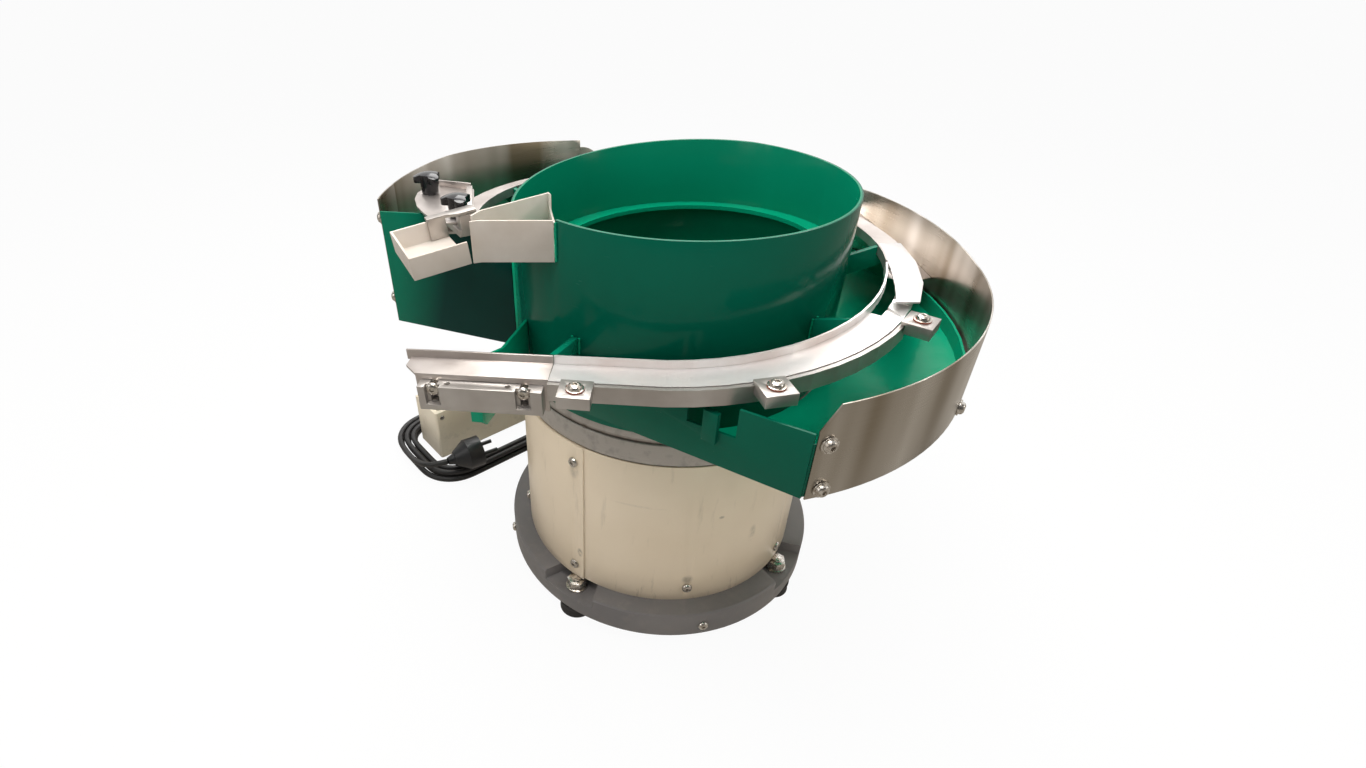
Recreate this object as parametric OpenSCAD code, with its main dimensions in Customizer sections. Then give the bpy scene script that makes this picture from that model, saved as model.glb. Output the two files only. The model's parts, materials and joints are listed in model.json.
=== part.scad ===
// Vibratory bowl feeder with outer track, return pan and floor-standing controller.
// Z is up, the floor is at zero and the bowl turns about the Z axis.

/* [Base] */
// How far the cast base disc stands out past the drum
base_rim = 19; // [16:1:26]
// Thickness of the base disc
base_t = 29; // [26:1:34]
// Height of a rubber foot
foot_h = 15; // [13:1:20]
// Radius of a rubber foot
foot_r = 17; // [14:1:19]
// Number of feet and of notches in the disc
foot_count = 4; // [3:1:4]
// Distance of a foot's middle from the edge of the disc
foot_inset = 16; // [14:1:17]
// Depth of the notch that holds a foot nut
notch_depth = 12; // [10:1:15]

/* [Drive] */
// Radius of the drum and of the top plate
drum_r = 140; // [138:1:143]
// Thickness of the rolled drum sheet
drum_sheet = 1.5; // [1:0.1:2]
// Height from the base disc to the top plate
drive_h = 163.7; // [150:1:180]
// Running gap between the drum sheet and the top plate
drum_gap = 1; // [0.6:0.1:2]
// Number of leaf spring packs
spring_count = 4; // [3:1:4]
// Leaves in a spring pack
leaf_count = 3; // [2:1:4]
// Thickness of a leaf
leaf_t = 2.5; // [2:0.1:3]
// Width of a leaf
leaf_w = 30; // [24:1:32]
// Lean of the leaves from upright
leaf_tilt = 18; // [12:1:22]
// Thickness of the top plate
top_plate_t = 20.8; // [16:0.2:24]

/* [Bowl] */
// Outer radius of the bowl wall
bowl_r = 141.2; // [139:0.1:143]
// Thickness of the bowl wall
bowl_sheet = 2.5; // [2:0.1:3]
// Height of the bowl wall
bowl_h = 159.5; // [156:0.5:170]
// Width of the spiral ledge
ledge_w = 20; // [14:1:24]
// Rise of the spiral ledge in one turn
ledge_rise = 56.5; // [52:0.5:60]

/* [Outer track] */
// Gap from the bowl wall to the inner lip of the outer track
track_gap = 28.8; // [26:0.2:34]
// Width of the track floor
track_w = 24.4; // [18:0.2:27]
// Height of the lip over the track floor
lip_h = 6; // [4:0.5:8]
// Length of the straight outlet
outlet_len = 103; // [80:1:130]

/* [Pan and guards] */
// Gap from the outer track's floor to the right guard
guard_gap = 50.6; // [46:0.2:58]
// How far the left guard stands out past the right one
left_guard_step = 5; // [4:0.5:8]
// Thickness of the guard sheet
guard_sheet = 1; // [0.8:0.1:1.5]
// Height of the low wall of the pan
pan_wall_h = 14; // [8:1:20]

/* [Chute and tray] */
// Height of the chute walls
chute_h = 28; // [24:1:32]
// Width of the catch tray
tray_w = 57.5; // [50:0.5:62]
// Height of the catch tray
tray_h = 16.6; // [12:0.2:22]

/* [Controller] */
// Length of the controller case
ctl_l = 150; // [140:1:170]
// Width of the controller case
ctl_w = 54; // [48:1:60]
// Height of the controller case
ctl_h = 70.5; // [62:0.5:84]
// Diameter of the mains cord
mains_d = 7; // [6:0.5:7.5]
// Diameter of the drive cable
drive_d = 6; // [5:0.5:7]

/* [Hidden] */
$fn = 72;

// Shared small sizes
over = 1;
seat_gap = 0.1;
move_gap = 0.3;
weld_gap = 0.2;

// Screws: M5 with button heads, M6 with hexagon heads
m5_r = 2.5;
m5_hole_r = 2.7;
m5_head_r = 4.8;
m5_head_h = 3.2;
m5_socket_r = 1.8;
m5_socket_depth = 1.8;
m6_r = 3;
m6_hole_r = 3.2;
m6_head_r = 5.7;
m6_head_h = 4;
washer_t = 1.2;
washer_over = 1.4;

// Base disc
base_r = drum_r + base_rim;
base_top = foot_h + base_t;
foot_circle_r = base_r - foot_inset;
base_chamfer = 1.5;
first_foot_az = -120;
notch_in = base_r - 30;
notch_in_w = 37;
notch_out_w = 62;
stud_r = 5;
stud_hole_r = 5.25;
nut_r = 9.4;
nut_h = 8;
nut_washer_r = 10.4;
nut_washer_t = 1.6;
stud_show = 2;
foot_plate_t = 3;
foot_round = 3;
foot_bore = 6;
spigot_t = 8.2;
spigot_h = 25;
rim_screw_count = 4;
rim_screw_az = -71;
rim_screw_z = foot_h + base_t * 0.45;
rim_hole_depth = 16;
gland_az = 115;
gland_z = 29.5;
gland_flat = base_r - 2;
gland_bore_r = 4.5;

// Drum cover
drum_in = drum_r - drum_sheet;
spigot_r = drum_in - move_gap;
spigot_in = spigot_r - spigot_t;
cover_h = drive_h - drum_gap;
seam_az = -117;
lap_angle = 60;
lap_side = 0.2;
low_screw_z = 16.5;
high_screw_z = 144;
first_screw_az = -121;
cover_screw_count = 8;
cover_screw_len = 9;
strap_w = 16;
strap_t = 4;
strap_h = 112;
strap_out = spigot_r - lap_side;

// Spring drive
spring_circle_r = drum_r - 43;
first_spring_az = 15;
leaf_len = 120;
clamp_len = 30;
spacer_t = 1.5;
clamp_t = 6;
block_t = 18;
block_foot = 3;
block_foot_t = 8;
block_side = 2;
bolt_share = 0.25;
pack_t = leaf_count * leaf_t + (leaf_count - 1) * spacer_t;
bolt_grip = 14;
drive_mid = base_top + drive_h / 2;

// Electromagnet
bracket_l = 84;
bracket_w = 52;
bracket_t = 8;
bracket_h = 52;
core_leg = 10;
core_window = 12;
core_mid = 20;
core_back = 14;
core_h = 52;
core_w = 40;
coil_wall = 11;
coil_h = 34;
coil_gap = 0.4;
core_l = core_mid + 2 * core_window + 2 * core_leg;
core_foot = base_top + bracket_t + bracket_h;
air_gap = 1.2;
armature_t = 10;
armature_l = 62;
armature_post = 30;

// Top plate and bowl
top_plate_z = base_top + drive_h;
mount_disc_z = top_plate_z + top_plate_t;
mount_disc_t = 11;
mount_disc_r = bowl_r - bowl_sheet / 2;
groove_depth = 3;
groove_h = 2;
bore_r = 8.3;
bolt_r = 8;
bolt_washer_r = 22;
bolt_washer_t = 4;
bolt_nut_r = 13.9;
bolt_nut_h = 13;
bolt_show = 9;
bolt_low = 6;
bowl_z = mount_disc_z + mount_disc_t;
bowl_in = bowl_r - bowl_sheet;
floor_t = 3.5;
floor_rise = 9;
floor_seat_r = 26;
bowl_top = bowl_z + bowl_h;

// Plan of the outer track and the guards
track_r = bowl_r + track_gap;
floor_out = track_r + track_w;
guard_r = floor_out + guard_gap;
left_guard_r = guard_r + left_guard_step;

// Rim of the bowl falls away behind the chute, and the chute leaves through an opening
rim_fall = 11;
rim_mid = -10;
rim_mid_az = 128;
rim_turn = 84;
open_az0 = -149.5;
open_az1 = -127;
open_z = bowl_top - 29.5;
exit_drop = 20;
window_az0 = 22;
window_az1 = 50;
window_low = 14;
window_h = 20;

// Spiral ledge
ledge_exit_az = 225;
ledge_end_az = 212;
ledge_start_az = 992;
ledge_step = 7.5;
ledge_exit_z = bowl_top - 30.5;
ledge_t = 2.5;
ledge_lip_t = 1.5;
ledge_lip_h = 2.8;
ledge_slope = 1.4;

// Return pan
panel_az = -122.7;
pan_t = 2;
pan_wall_t = 2;
pan_turn_run = 8;
pan_az1 = 189.6;
pan_skew = 11.2;
pan_skew_from = 150;
pan_step = 6;
pan_in_gap = 0.5;
pan_in_z = bowl_z + 7;
pan_in_lift = 16;
pan_out_z = bowl_z + 28;
pan_out_lift = 6;
pan_out_gap = 1.4;
panel_off = weld_gap;
panel_t = 2;
panel_low = 6.5;
panel_rise = 20.5;
panel_h = 51;
panel_notch_share = [0.56, 0.75];
panel_notch_depth = 23;
tab_w = 14;
tab_t = 1.2;
tab_lap = 0.35;
panel_reach = sqrt(guard_r * guard_r - bowl_r * bowl_r) - 1.5;
pan_first_r = bowl_r + pan_in_gap + 2 * pan_wall_t;
pan_az0 = panel_az + acos((bowl_r + panel_off) / (pan_first_r + weld_gap));
post_share = 0.66;
post_w = 11;
post_t = 4;
post_low = 20;
post_h = 24.5;

// Guards
guard_low = bowl_z + 26.5;
guard_top = bowl_z + 98.5;
guard_high = bowl_z + 130;
guard_az0 = panel_az + acos(bowl_r / guard_r) - 0.106;
guard_az1 = 111;
guard_slope_az = 70;
guard_slope = 0.07;
guard_slope_off = 84;
corner_h = 18;
corner_w = 11;
left_low = bowl_z + 31.5;
left_top = bowl_z + 144.5;
left_az0 = 112;
left_az1 = 189.8;
left_slope_az = 200;
left_slope = 0.08;
left_slope_off = 186;
left_round = 26;
plate_out_az = -170.085;
plate_out_gap = 0.27;
plate_yaw = -5;
plate_in_gap = 2.66;
plate_step_shares = [0.3286, 0.4174, 0.4796];
plate_t = 2;
guard_screw_places = [[guard_az0 + 1.9, guard_low + 43], [guard_az0 + 2.4, guard_low + 7],
    [-28.5, guard_low + 5.5], [18, guard_low + 8], [62, guard_low + 10], [98, guard_low + 11]];
left_screw_places = [[188, left_top - 18], [188, left_low + 21], [158, left_low + 15],
    [128, left_low + 13]];
guard_screw_len = 12;

// Tracks. The lip top of the lower track falls to the outlet, the upper one falls to the junction.
lip_t = 1.5;
track_t = 2;
track_lift = 0.7;
lower_z = bowl_z + 86.9;
lower_rise = 17.77;
lower_az1 = -8;
track_step = 6;
straight_len = 77;
straight_fall = 0.03;
upper_z = bowl_z + 105.5;
upper_rise = 26.53;
upper_level_az = 18;
upper_az0 = -7.4;
upper_az1 = 198.5;
slot_in = lip_t + 0.3;
slot_out = 10.5;
slot_az0 = -33;
slot_az1 = -12;
slot_steps = 7;
rail_gap = 1.2;
rail_t = 3;
rail_h = 13;
rail_flange = 13;
rail_flange_t = 3;
rail_az1 = -33;
rail_drop = 0.2;
junction_t = 1.6;
junction_lift = 0.3;
deflector_t = 1.2;
deflector_x = floor_out + 1.6;
deflector_z = bowl_z + 77.5;
deflector_lean = 26.3;
deflector_in = [8.76, 2.257];
deflector_out = [1.24, 13.523];
deflector_az1 = 42;
clamp_out = 21;
clamp_w = 22;
clamp_h = 9;
clamp_over = 2.4;
clamp_over_t = 2.6;
clamp_screw_in = 10;
clamp_az = [-70.5, -31.5];
clamp_straight_x = 57;
arm_t = 5;
arm_h = 18;
arm_fall = 11;
arm_az = [-41, 4, 58, 108, 158];
arm_reach = 10;
first_arm_az = -119.384;
first_arm_gap = 0.65;
first_arm_past = 1.6;
first_arm_h = 14.5;
first_arm_in = 1.4;

// Straight outlet
outlet_gap = 0.6;
outlet_w = 22;
outlet_flange = 24;
outlet_flange_t = 1.8;
outlet_chamfer = 10;
outlet_lip_run = 3;
side_top = 10.5;
side_t = 9.5;
side_h = 18.5;
side_start = 3;
side_l = 86;
side_screw_x = [13, 76];
side_slot_w = 5.6;
side_slot_h = 14;
side_head_w = 10.4;
side_head_h = 14.6;
side_head_depth = 4.2;
side_screw_drop = 3.2;
side_holes_x = [24, 66];
side_hole_r = 2;
side_hole_depth = 12;
side_pin_y = 4;
bracket_past = 56;
bracket_az = -145.226;
bracket_gap = 1.72;
bracket_flange = 9;
bracket_low = 14.5;
bracket_sheet = 2.5;

// Exit chute
chute_z = bowl_top - 29.5;
chute_sheet = 1.5;
exit_az = -139.223;
exit_out = 47.897;
exit_at = on_circle(bowl_r + exit_out, exit_az);
group_l = 100;
chute_start = on_circle(bowl_r + 1.158, open_az1 - 0.063);
fin_start = on_circle(bowl_r - 26.67, -151.868);
chute_front_shares = [[0.052, 0.029], [0, 0]];
chute_back_shares = [[0.009, 0.23], [-0.024, 0.118]];
chute_front = concat([chute_start], [for (p = chute_front_shares) exit_at + group_l * p]);
chute_back = concat([fin_start], [for (p = chute_back_shares) exit_at + group_l * p]);
fin_az1 = -138;
fin_steps = 4;
fin_cut_r = 26;
fin_lift = 6;

// Catch tray, its bracket and the selector
tray_shares = [-0.343, -0.329];
tray_corner = concat(exit_at + group_l * tray_shares, bowl_top - 16.1);
tray_yaw = 34.6;
tray_pitch = 6.5;
tray_l = 42;
tray_wall = 1.8;
stud_shares = [[-0.288, 0.615], [-0.708, 1.155]];
inner_stud = exit_at + group_l * stud_shares[0];
outer_stud = exit_at + group_l * stud_shares[1];
selector_z = bowl_z + 138;
selector_t = 2;
bar_w = 18;
bar_t = 5;
bar_end = 9;
bar_lead = 25;
lug = 8;
stud_len = 14;
knob_bore_gap = 0.06;
knob_r = 13;
knob_h = 18;
knob_hub_r = 7;
knob_hub_top_r = 8.4;
knob_lobe_r = 4.6;
knob_lobe_h = 8;
knob_bore_depth = 13;
knob_crown_r = 26;
selector_slot = 4.2;
strip_w = 5;
strip_h = 4;
strip_t = 1.5;
strip_start = 10;
strip_l = 54;
slot_arc_steps = 12;
selector_shares = [[-0.184, 0.675], [-0.248, 0.505], [-0.348, 0.465], [-0.478, 0.535],
    [-0.598, 0.665], [-0.708, 0.815], [-0.793, 0.995], [-0.828, 1.155], [-0.808, 1.295],
    [-0.708, 1.375], [-0.368, 1.315]];
selector_outline = [for (p = selector_shares) exit_at + group_l * p];
bracket_plate_w = 14;
bracket_plate_t = 2.5;
clamp_block_x = 51.5;
clamp_block_y = 48.5;
clamp_block_l = 12;
clamp_block_low = 14.9;

// Controller: its near lower corner and heading on the floor
ctl_corner = [-281, 79.5];
ctl_yaw = 47;
ctl_wall = 2.5;
ctl_edge = 2;
lid_t = 2.5;
dial_x = 48;
dial_z = 38;
dial_r = 14;
dial_h = 15;
dial_skirt_r = 17;
dial_skirt_h = 3;
dial_shaft_r = 3;
dial_shaft_hole_r = 3.3;
dial_shaft_in = 9;
rocker_x = 104;
rocker_z = 44;
rocker_w = 12;
rocker_l = 20;
rocker_depth = 10;
rocker_proud = 3.6;
rocker_r = 20;
rocker_lean = 8;
fuse_x = 104;
fuse_z = 20;
fuse_r = 6;
fuse_cap_r = 8;
fuse_cap_h = 7;
fuse_in = 22;
mains_gland_y = 12;
drive_gland_y = 40;
gland_row_z = 45;
gland_r = 6;
gland_nut_r = 8.4;
gland_nut_h = 7;
gland_tip = 26;
gland_in = 8;
ctl_screw_r = 1.6;
ctl_screw_head_r = 3;
ctl_screw_head_h = 1.6;
ctl_screw_inset = 8;

// Plug and cords. Places are along the case, across it and up, from the case's near corner.
plug_at = [11, -52, 34.4];
plug_turn = -8;
plug_r = 18.5;
plug_face_r = 19;
plug_l = 34;
plug_back_r = 9;
plug_relief = 8;
pin_r = 2.4;
pin_l = 19;
pin_gap = 9.5;
coil_x = [14, 136];
coil_y = [-12, 40];
coil_r_out = 48;
coil_r_in = 28;
coil_low = 3.6;
coil_climb = 7.6;
coil_start = 36;
coil_turn = 936;
coil_back = 1116;
coil_end = 1980;
coil_steps = 24;
coil_sides = 6;
cord_sides = 8;
lead_points = [[176.1, 12, 45], [184, 12, 44.8], [191.5, 14, 41], [197, 19.5, 33], [199.5, 28, 23],
    [199.5, 37.5, 13], [195.5, 46, 6.5], [189, 53, 4], [182, 60, 3.6]];
tail_points = [[-34, 40, 11.2], [-35, 25, 12.2], [-38, 8, 15.5], [-40.5, -8, 20.5], [-39.5, -22, 26],
    [-34, -36, 31], [-25, -46, 34], [-14.5, -48.6, 34.4]];
drive_points = [[-195.6, 229.7, 45], [-187.5, 238.4, 45], [-178.9, 246.9, 44.5],
    [-168.2, 253.2, 43.5], [-156.2, 254.4, 42], [-144.1, 251.3, 39.5], [-131.8, 245.3, 37],
    [-120.2, 237.2, 34.5], [-110, 227.7, 32], [-100.8, 217, 30.5], [-93.3, 206, 29.5],
    [-89.2, 191.2, 29.5], [-83.3, 178.6, 29.5]];

// Colours
cast_grey = [0.32, 0.32, 0.33];
steel = [0.72, 0.71, 0.69];
bright_steel = [0.85, 0.84, 0.83];
cream = [0.86, 0.81, 0.71];
green = [0.03, 0.45, 0.32];
blasted = [0.74, 0.70, 0.65];
black = [0.05, 0.05, 0.06];
copper = [0.72, 0.42, 0.25];
plate_grey = [0.45, 0.44, 0.42];

// Helpers
function on_circle(r, a) = [r * cos(a), r * sin(a)];
function mix(a, b, t) = a + (b - a) * t;
function clamp01(t) = min(1, max(0, t));

module ring(r_out, r_in, h) {
    difference() {
        cylinder(r = r_out, h = h);
        translate([0, 0, -over]) cylinder(r = r_in, h = h + 2 * over);
    }
}

module ring_sector(r_in, r_out, a0, a1, h) {
    rotate([0, 0, a0])
        rotate_extrude(angle = a1 - a0)
            translate([r_in, 0]) square([r_out - r_in, h]);
}

module at_az(a, r, z) {
    rotate([0, 0, a]) translate([r, 0, z]) children();
}

module button_screw(len) {
    difference() {
        union() {
            translate([0, 0, -len]) cylinder(r = m5_r, h = len);
            rotate_extrude()
                polygon([[0, 0], [m5_head_r, 0], [m5_head_r, m5_head_h * 0.35],
                    [m5_head_r * 0.86, m5_head_h * 0.75], [m5_head_r * 0.55, m5_head_h],
                    [0, m5_head_h]]);
        }
        translate([0, 0, m5_head_h - m5_socket_depth])
            cylinder(r = m5_socket_r, h = m5_socket_depth + over, $fn = 6);
    }
}

module washer(r_hole) {
    ring(m5_head_r + washer_over, r_hole, washer_t);
}

// Joins rings of points into a closed skin. caps lists the triangles of one end face.
module skin(rings, caps) {
    n = len(rings[0]);
    m = len(rings);
    sides = [for (i = [0 : m - 2]) for (j = [0 : n - 1]) each [
        [i * n + j, (i + 1) * n + j, (i + 1) * n + (j + 1) % n],
        [i * n + j, (i + 1) * n + (j + 1) % n, i * n + (j + 1) % n]]];
    first = [for (c = caps) c];
    last = [for (c = caps) [(m - 1) * n + c[2], (m - 1) * n + c[1], (m - 1) * n + c[0]]];
    polyhedron(points = [for (r = rings) each r], faces = concat(sides, first, last));
}

ell_caps = [[0, 1, 2], [0, 2, 5], [2, 3, 4], [2, 4, 5]];

// A profile of radius and height, swept along frames of [axis x, axis y, heading, height]
function swept(profile, frames) = [for (f = frames)
    [for (p = profile) [f[0] + p[0] * cos(f[2]), f[1] + p[0] * sin(f[2]), f[3] + p[1]]]];

function lower_lip_z(a) = lower_z + lower_rise * (a + 90) / (lower_az1 + 90);
function upper_lip_z(a) = upper_z
    + upper_rise * max(0, a - upper_level_az) / (upper_az1 - upper_level_az);

function lower_frames(a1) = concat(
    [for (i = [0 : ceil((a1 + 90) / track_step)])
        let (a = a1 - (a1 + 90) * i / ceil((a1 + 90) / track_step)) [0, 0, a, lower_lip_z(a)]],
    [[-straight_len, 0, -90, lower_z - straight_fall * straight_len]]);

function upper_frames() = [for (i = [0 : ceil((upper_az1 - upper_az0) / track_step)])
    let (a = mix(upper_az1, upper_az0, i / ceil((upper_az1 - upper_az0) / track_step)))
    [0, 0, a, upper_lip_z(a)]];

track_profile = [[track_r, 0], [track_r + lip_t, 0], [track_r + lip_t, -lip_h],
    [floor_out, -lip_h + track_lift], [floor_out, -lip_h + track_lift - track_t],
    [track_r, -lip_h - track_t]];

// Unit directions and tubes along points
function unit(v) = v / norm(v);
function tangent(p, i) = unit(p[min(i + 1, len(p) - 1)] - p[max(i - 1, 0)]);
function side_of(t) = unit(cross([0, 0, 1], t));
function tube_rings(p, d, n) = [for (i = [0 : len(p) - 1])
    let (t = tangent(p, i), s = side_of(t), u = cross(t, s))
    [for (k = [0 : n - 1]) p[i] + d / 2 * (s * cos(360 * (k + 0.5) / n) + u * sin(360 * (k + 0.5) / n))]];
function fan(n) = [for (k = [1 : n - 2]) [0, k, k + 1]];

module tube(p, d, n) {
    skin(tube_rings(p, d, n), fan(n));
}

// Base disc, feet and studs
module foot_places() {
    for (k = [0 : foot_count - 1])
        rotate([0, 0, first_foot_az + 360 / foot_count * k])
            translate([foot_circle_r, 0, 0]) children();
}

module base_disc() {
    color(cast_grey)
    difference() {
        union() {
            difference() {
                translate([0, 0, foot_h])
                    rotate_extrude()
                        polygon([[0, 0], [base_r - base_chamfer, 0], [base_r, base_chamfer],
                            [base_r, base_t - base_chamfer], [base_r - base_chamfer, base_t],
                            [0, base_t]]);
                for (k = [0 : foot_count - 1])
                    rotate([0, 0, first_foot_az + 360 / foot_count * k])
                        translate([0, 0, base_top - notch_depth])
                            linear_extrude(notch_depth + over)
                                polygon([[notch_in, -notch_in_w / 2], [base_r + over, -notch_out_w / 2],
                                    [base_r + over, notch_out_w / 2], [notch_in, notch_in_w / 2]]);
            }
            translate([0, 0, base_top]) ring(spigot_r, spigot_in, spigot_h);
        }
        foot_places() translate([0, 0, foot_h - over]) cylinder(r = stud_hole_r, h = base_t + 2 * over);
        for (k = [0 : rim_screw_count - 1])
            at_az(rim_screw_az + 360 / rim_screw_count * k, base_r + over, rim_screw_z)
                rotate([0, -90, 0]) cylinder(r = m5_hole_r, h = rim_hole_depth + over);
        for (k = [0 : cover_screw_count - 1])
            at_az(first_screw_az + 360 / cover_screw_count * k, drum_r, base_top + low_screw_z)
                rotate([0, -90, 0]) cylinder(r = m5_hole_r, h = cover_screw_len + over);
        at_az(gland_az, gland_flat, gland_z) {
            translate([0, -gland_nut_r - over, -gland_nut_r - over])
                cube([base_r - gland_flat + over, 2 * (gland_nut_r + over), 2 * (gland_nut_r + over)]);
            rotate([0, -90, 0]) cylinder(r = gland_r + seat_gap, h = base_r - spigot_in);
        }
        at_az(gland_az, spigot_in - gland_nut_r, gland_z)
            cylinder(r = gland_r, h = base_t + spigot_h);
    }
}

module rubber_feet() {
    color(black)
    foot_places()
        difference() {
            rotate_extrude()
                polygon([[0, 0], [foot_r - foot_round, 0], [foot_r, foot_round],
                    [foot_r * 0.93, foot_h - foot_plate_t], [foot_r, foot_h - foot_plate_t],
                    [foot_r, foot_h], [0, foot_h]]);
            translate([0, 0, foot_bore]) cylinder(r = stud_r + seat_gap, h = foot_h);
        }
}

module foot_studs() {
    nut_z = base_top - notch_depth;
    color(bright_steel)
    foot_places() {
        translate([0, 0, foot_bore + seat_gap])
            cylinder(r = stud_r, h = nut_z + nut_washer_t + nut_h + stud_show - foot_bore);
        translate([0, 0, nut_z]) cylinder(r = nut_washer_r, h = nut_washer_t);
        translate([0, 0, nut_z + nut_washer_t]) cylinder(r = nut_r, h = nut_h, $fn = 6);
    }
}

// Drum cover: the sheet swells by its own thickness towards the lapped edge of its seam
lap_rise = drum_sheet + lap_side;
lap_offset = lap_rise / (1 - cos(lap_angle));
function cover_r(a) = drum_r + lap_offset * max(0, cos(a) - cos(lap_angle)) * (a < lap_angle ? 1 : 0);

module drum_cover() {
    reach = 2 * drum_r;
    color(cream)
    difference() {
        translate([0, 0, base_top]) {
            cylinder(r = drum_r, h = cover_h);
            intersection() {
                at_az(seam_az, lap_offset, 0) cylinder(r = drum_r + lap_rise - lap_offset, h = cover_h);
                linear_extrude(cover_h)
                    polygon([[0, 0], on_circle(reach, seam_az), on_circle(reach, seam_az - lap_angle + lap_side * 15)]);
            }
        }
        cylinder(r = drum_in, h = base_top + 2 * cover_h);
        for (k = [0 : cover_screw_count - 1])
            at_az(first_screw_az + 360 / cover_screw_count * k, drum_in - over, base_top + low_screw_z)
                rotate([0, 90, 0]) cylinder(r = m5_hole_r, h = drum_sheet * 3 + over);
        at_az(first_screw_az, drum_in - over, base_top + high_screw_z)
            rotate([0, 90, 0]) cylinder(r = m5_hole_r, h = drum_sheet * 3 + over);
    }
}

module seam_strap() {
    color(plate_grey)
    difference() {
        at_az(first_screw_az, strap_out - strap_t, base_top + spigot_h)
            translate([0, -strap_w / 2, 0]) cube([strap_t, strap_w, strap_h]);
        at_az(first_screw_az, drum_r, base_top + high_screw_z)
            rotate([0, -90, 0]) cylinder(r = m5_hole_r, h = cover_screw_len + over);
    }
}

module drum_screws() {
    lap_r = cover_r(seam_az - first_screw_az);
    color(bright_steel) {
        for (k = [0 : cover_screw_count - 1]) {
            a = first_screw_az + 360 / cover_screw_count * k;
            turn = (seam_az - a + 720) % 360;
            at_az(a, cover_r(turn) + seat_gap, base_top + low_screw_z)
                rotate([0, 90, 0]) button_screw(cover_screw_len);
        }
        at_az(first_screw_az, lap_r + seat_gap, base_top + high_screw_z)
            rotate([0, 90, 0]) button_screw(cover_screw_len);
        for (k = [0 : rim_screw_count - 1])
            at_az(rim_screw_az + 360 / rim_screw_count * k, base_r, rim_screw_z)
                rotate([0, 90, 0]) button_screw(rim_hole_depth - over);
    }
}

// Spring packs: each stands in a frame that leans with the leaves
module spring_places() {
    for (k = [0 : spring_count - 1])
        rotate([0, 0, first_spring_az + 360 / spring_count * k])
            translate([spring_circle_r, 0, drive_mid]) children();
}

module bolt_places(z) {
    for (s = [-1, 1])
        translate([s * leaf_w * bolt_share, 0, z]) rotate([90, 0, 0]) children();
}

clamp_z = leaf_len / 2 - clamp_len / 2;

// Place across the lean of a line that lies d behind the pack's middle, at height z
function leaning_y(d, z) = d / cos(leaf_tilt) - z * tan(leaf_tilt);

// One clamping end: block with its foot on a flat face at foot_z below the middle
module spring_block() {
    foot_z = -drive_h / 2;
    w = leaf_w + 2 * block_side;
    front = pack_t / 2;
    back = front + block_t;
    top = clamp_len - leaf_len / 2;
    heel = leaning_y(back, foot_z + block_foot_t) + block_foot;
    difference() {
        translate([-w / 2, 0, 0])
            rotate([90, 0, 90])
                linear_extrude(w)
                    polygon([[leaning_y(front, foot_z), foot_z], [heel, foot_z], [heel, foot_z + block_foot_t],
                        [leaning_y(back, foot_z + block_foot_t), foot_z + block_foot_t],
                        [back * cos(leaf_tilt) - top * sin(leaf_tilt), back * sin(leaf_tilt) + top * cos(leaf_tilt)],
                        [front * cos(leaf_tilt) - top * sin(leaf_tilt), front * sin(leaf_tilt) + top * cos(leaf_tilt)]]);
        rotate([leaf_tilt, 0, 0])
            bolt_places(-clamp_z)
                translate([0, 0, -pack_t / 2 - bolt_grip - over]) cylinder(r = m6_hole_r, h = bolt_grip + 2 * over);
    }
}

module spring_clamp() {
    rotate([leaf_tilt, 0, 0])
        difference() {
            translate([-leaf_w / 2, -pack_t / 2 - clamp_t, -leaf_len / 2]) cube([leaf_w, clamp_t, clamp_len]);
            bolt_places(-clamp_z)
                translate([0, 0, pack_t / 2 - over]) cylinder(r = m6_hole_r, h = clamp_t + 2 * over);
        }
}

module spring_bolt_pair() {
    rotate([leaf_tilt, 0, 0])
        bolt_places(-clamp_z) {
            translate([0, 0, pack_t / 2 + clamp_t]) cylinder(r = m6_head_r, h = m6_head_h, $fn = 6);
            translate([0, 0, -pack_t / 2 - bolt_grip])
                cylinder(r = m6_r, h = bolt_grip + pack_t + clamp_t);
        }
}

module lower_spring_blocks() {
    color(cast_grey) spring_places() spring_block();
}

module lower_spring_clamps() {
    color(plate_grey) spring_places() spring_clamp();
}

module lower_spring_bolts() {
    color(steel) spring_places() spring_bolt_pair();
}

module upper_spring_blocks() {
    color(cast_grey) spring_places() rotate([180, 0, 0]) spring_block();
}

module upper_spring_clamps() {
    color(plate_grey) spring_places() rotate([180, 0, 0]) spring_clamp();
}

module upper_spring_bolts() {
    color(steel) spring_places() rotate([180, 0, 0]) spring_bolt_pair();
}

module leaf_springs() {
    color([0.75, 0.62, 0.30])
    spring_places()
        rotate([leaf_tilt, 0, 0])
            difference() {
                union() {
                    for (k = [0 : leaf_count - 1])
                        translate([-leaf_w / 2, -pack_t / 2 + k * (leaf_t + spacer_t), -leaf_len / 2])
                            cube([leaf_w, leaf_t, leaf_len]);
                    for (k = [0 : leaf_count - 2], end = [-1, 1])
                        translate([-leaf_w / 2, -pack_t / 2 + leaf_t + k * (leaf_t + spacer_t),
                            end * clamp_z - clamp_len / 2])
                            cube([leaf_w, spacer_t, clamp_len]);
                }
                for (end = [-1, 1])
                    bolt_places(end * clamp_z)
                        translate([0, 0, -pack_t / 2 - over]) cylinder(r = m6_hole_r, h = pack_t + 2 * over);
            }
}

// Electromagnet on its bracket, and the armature under the top plate
module magnet_bracket() {
    color(cast_grey)
    translate([0, 0, base_top]) {
        translate([-bracket_l / 2, -bracket_w / 2, 0]) cube([bracket_l, bracket_w, bracket_t]);
        for (s = [-1, 1])
            translate([s * (core_l / 2 - bracket_t / 2) - bracket_t / 2, -bracket_w / 2, bracket_t])
                cube([bracket_t, bracket_w, bracket_h - bracket_t]);
        translate([-core_l / 2, -bracket_w / 2, bracket_h]) cube([core_l, bracket_w, bracket_t]);
    }
}

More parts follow.
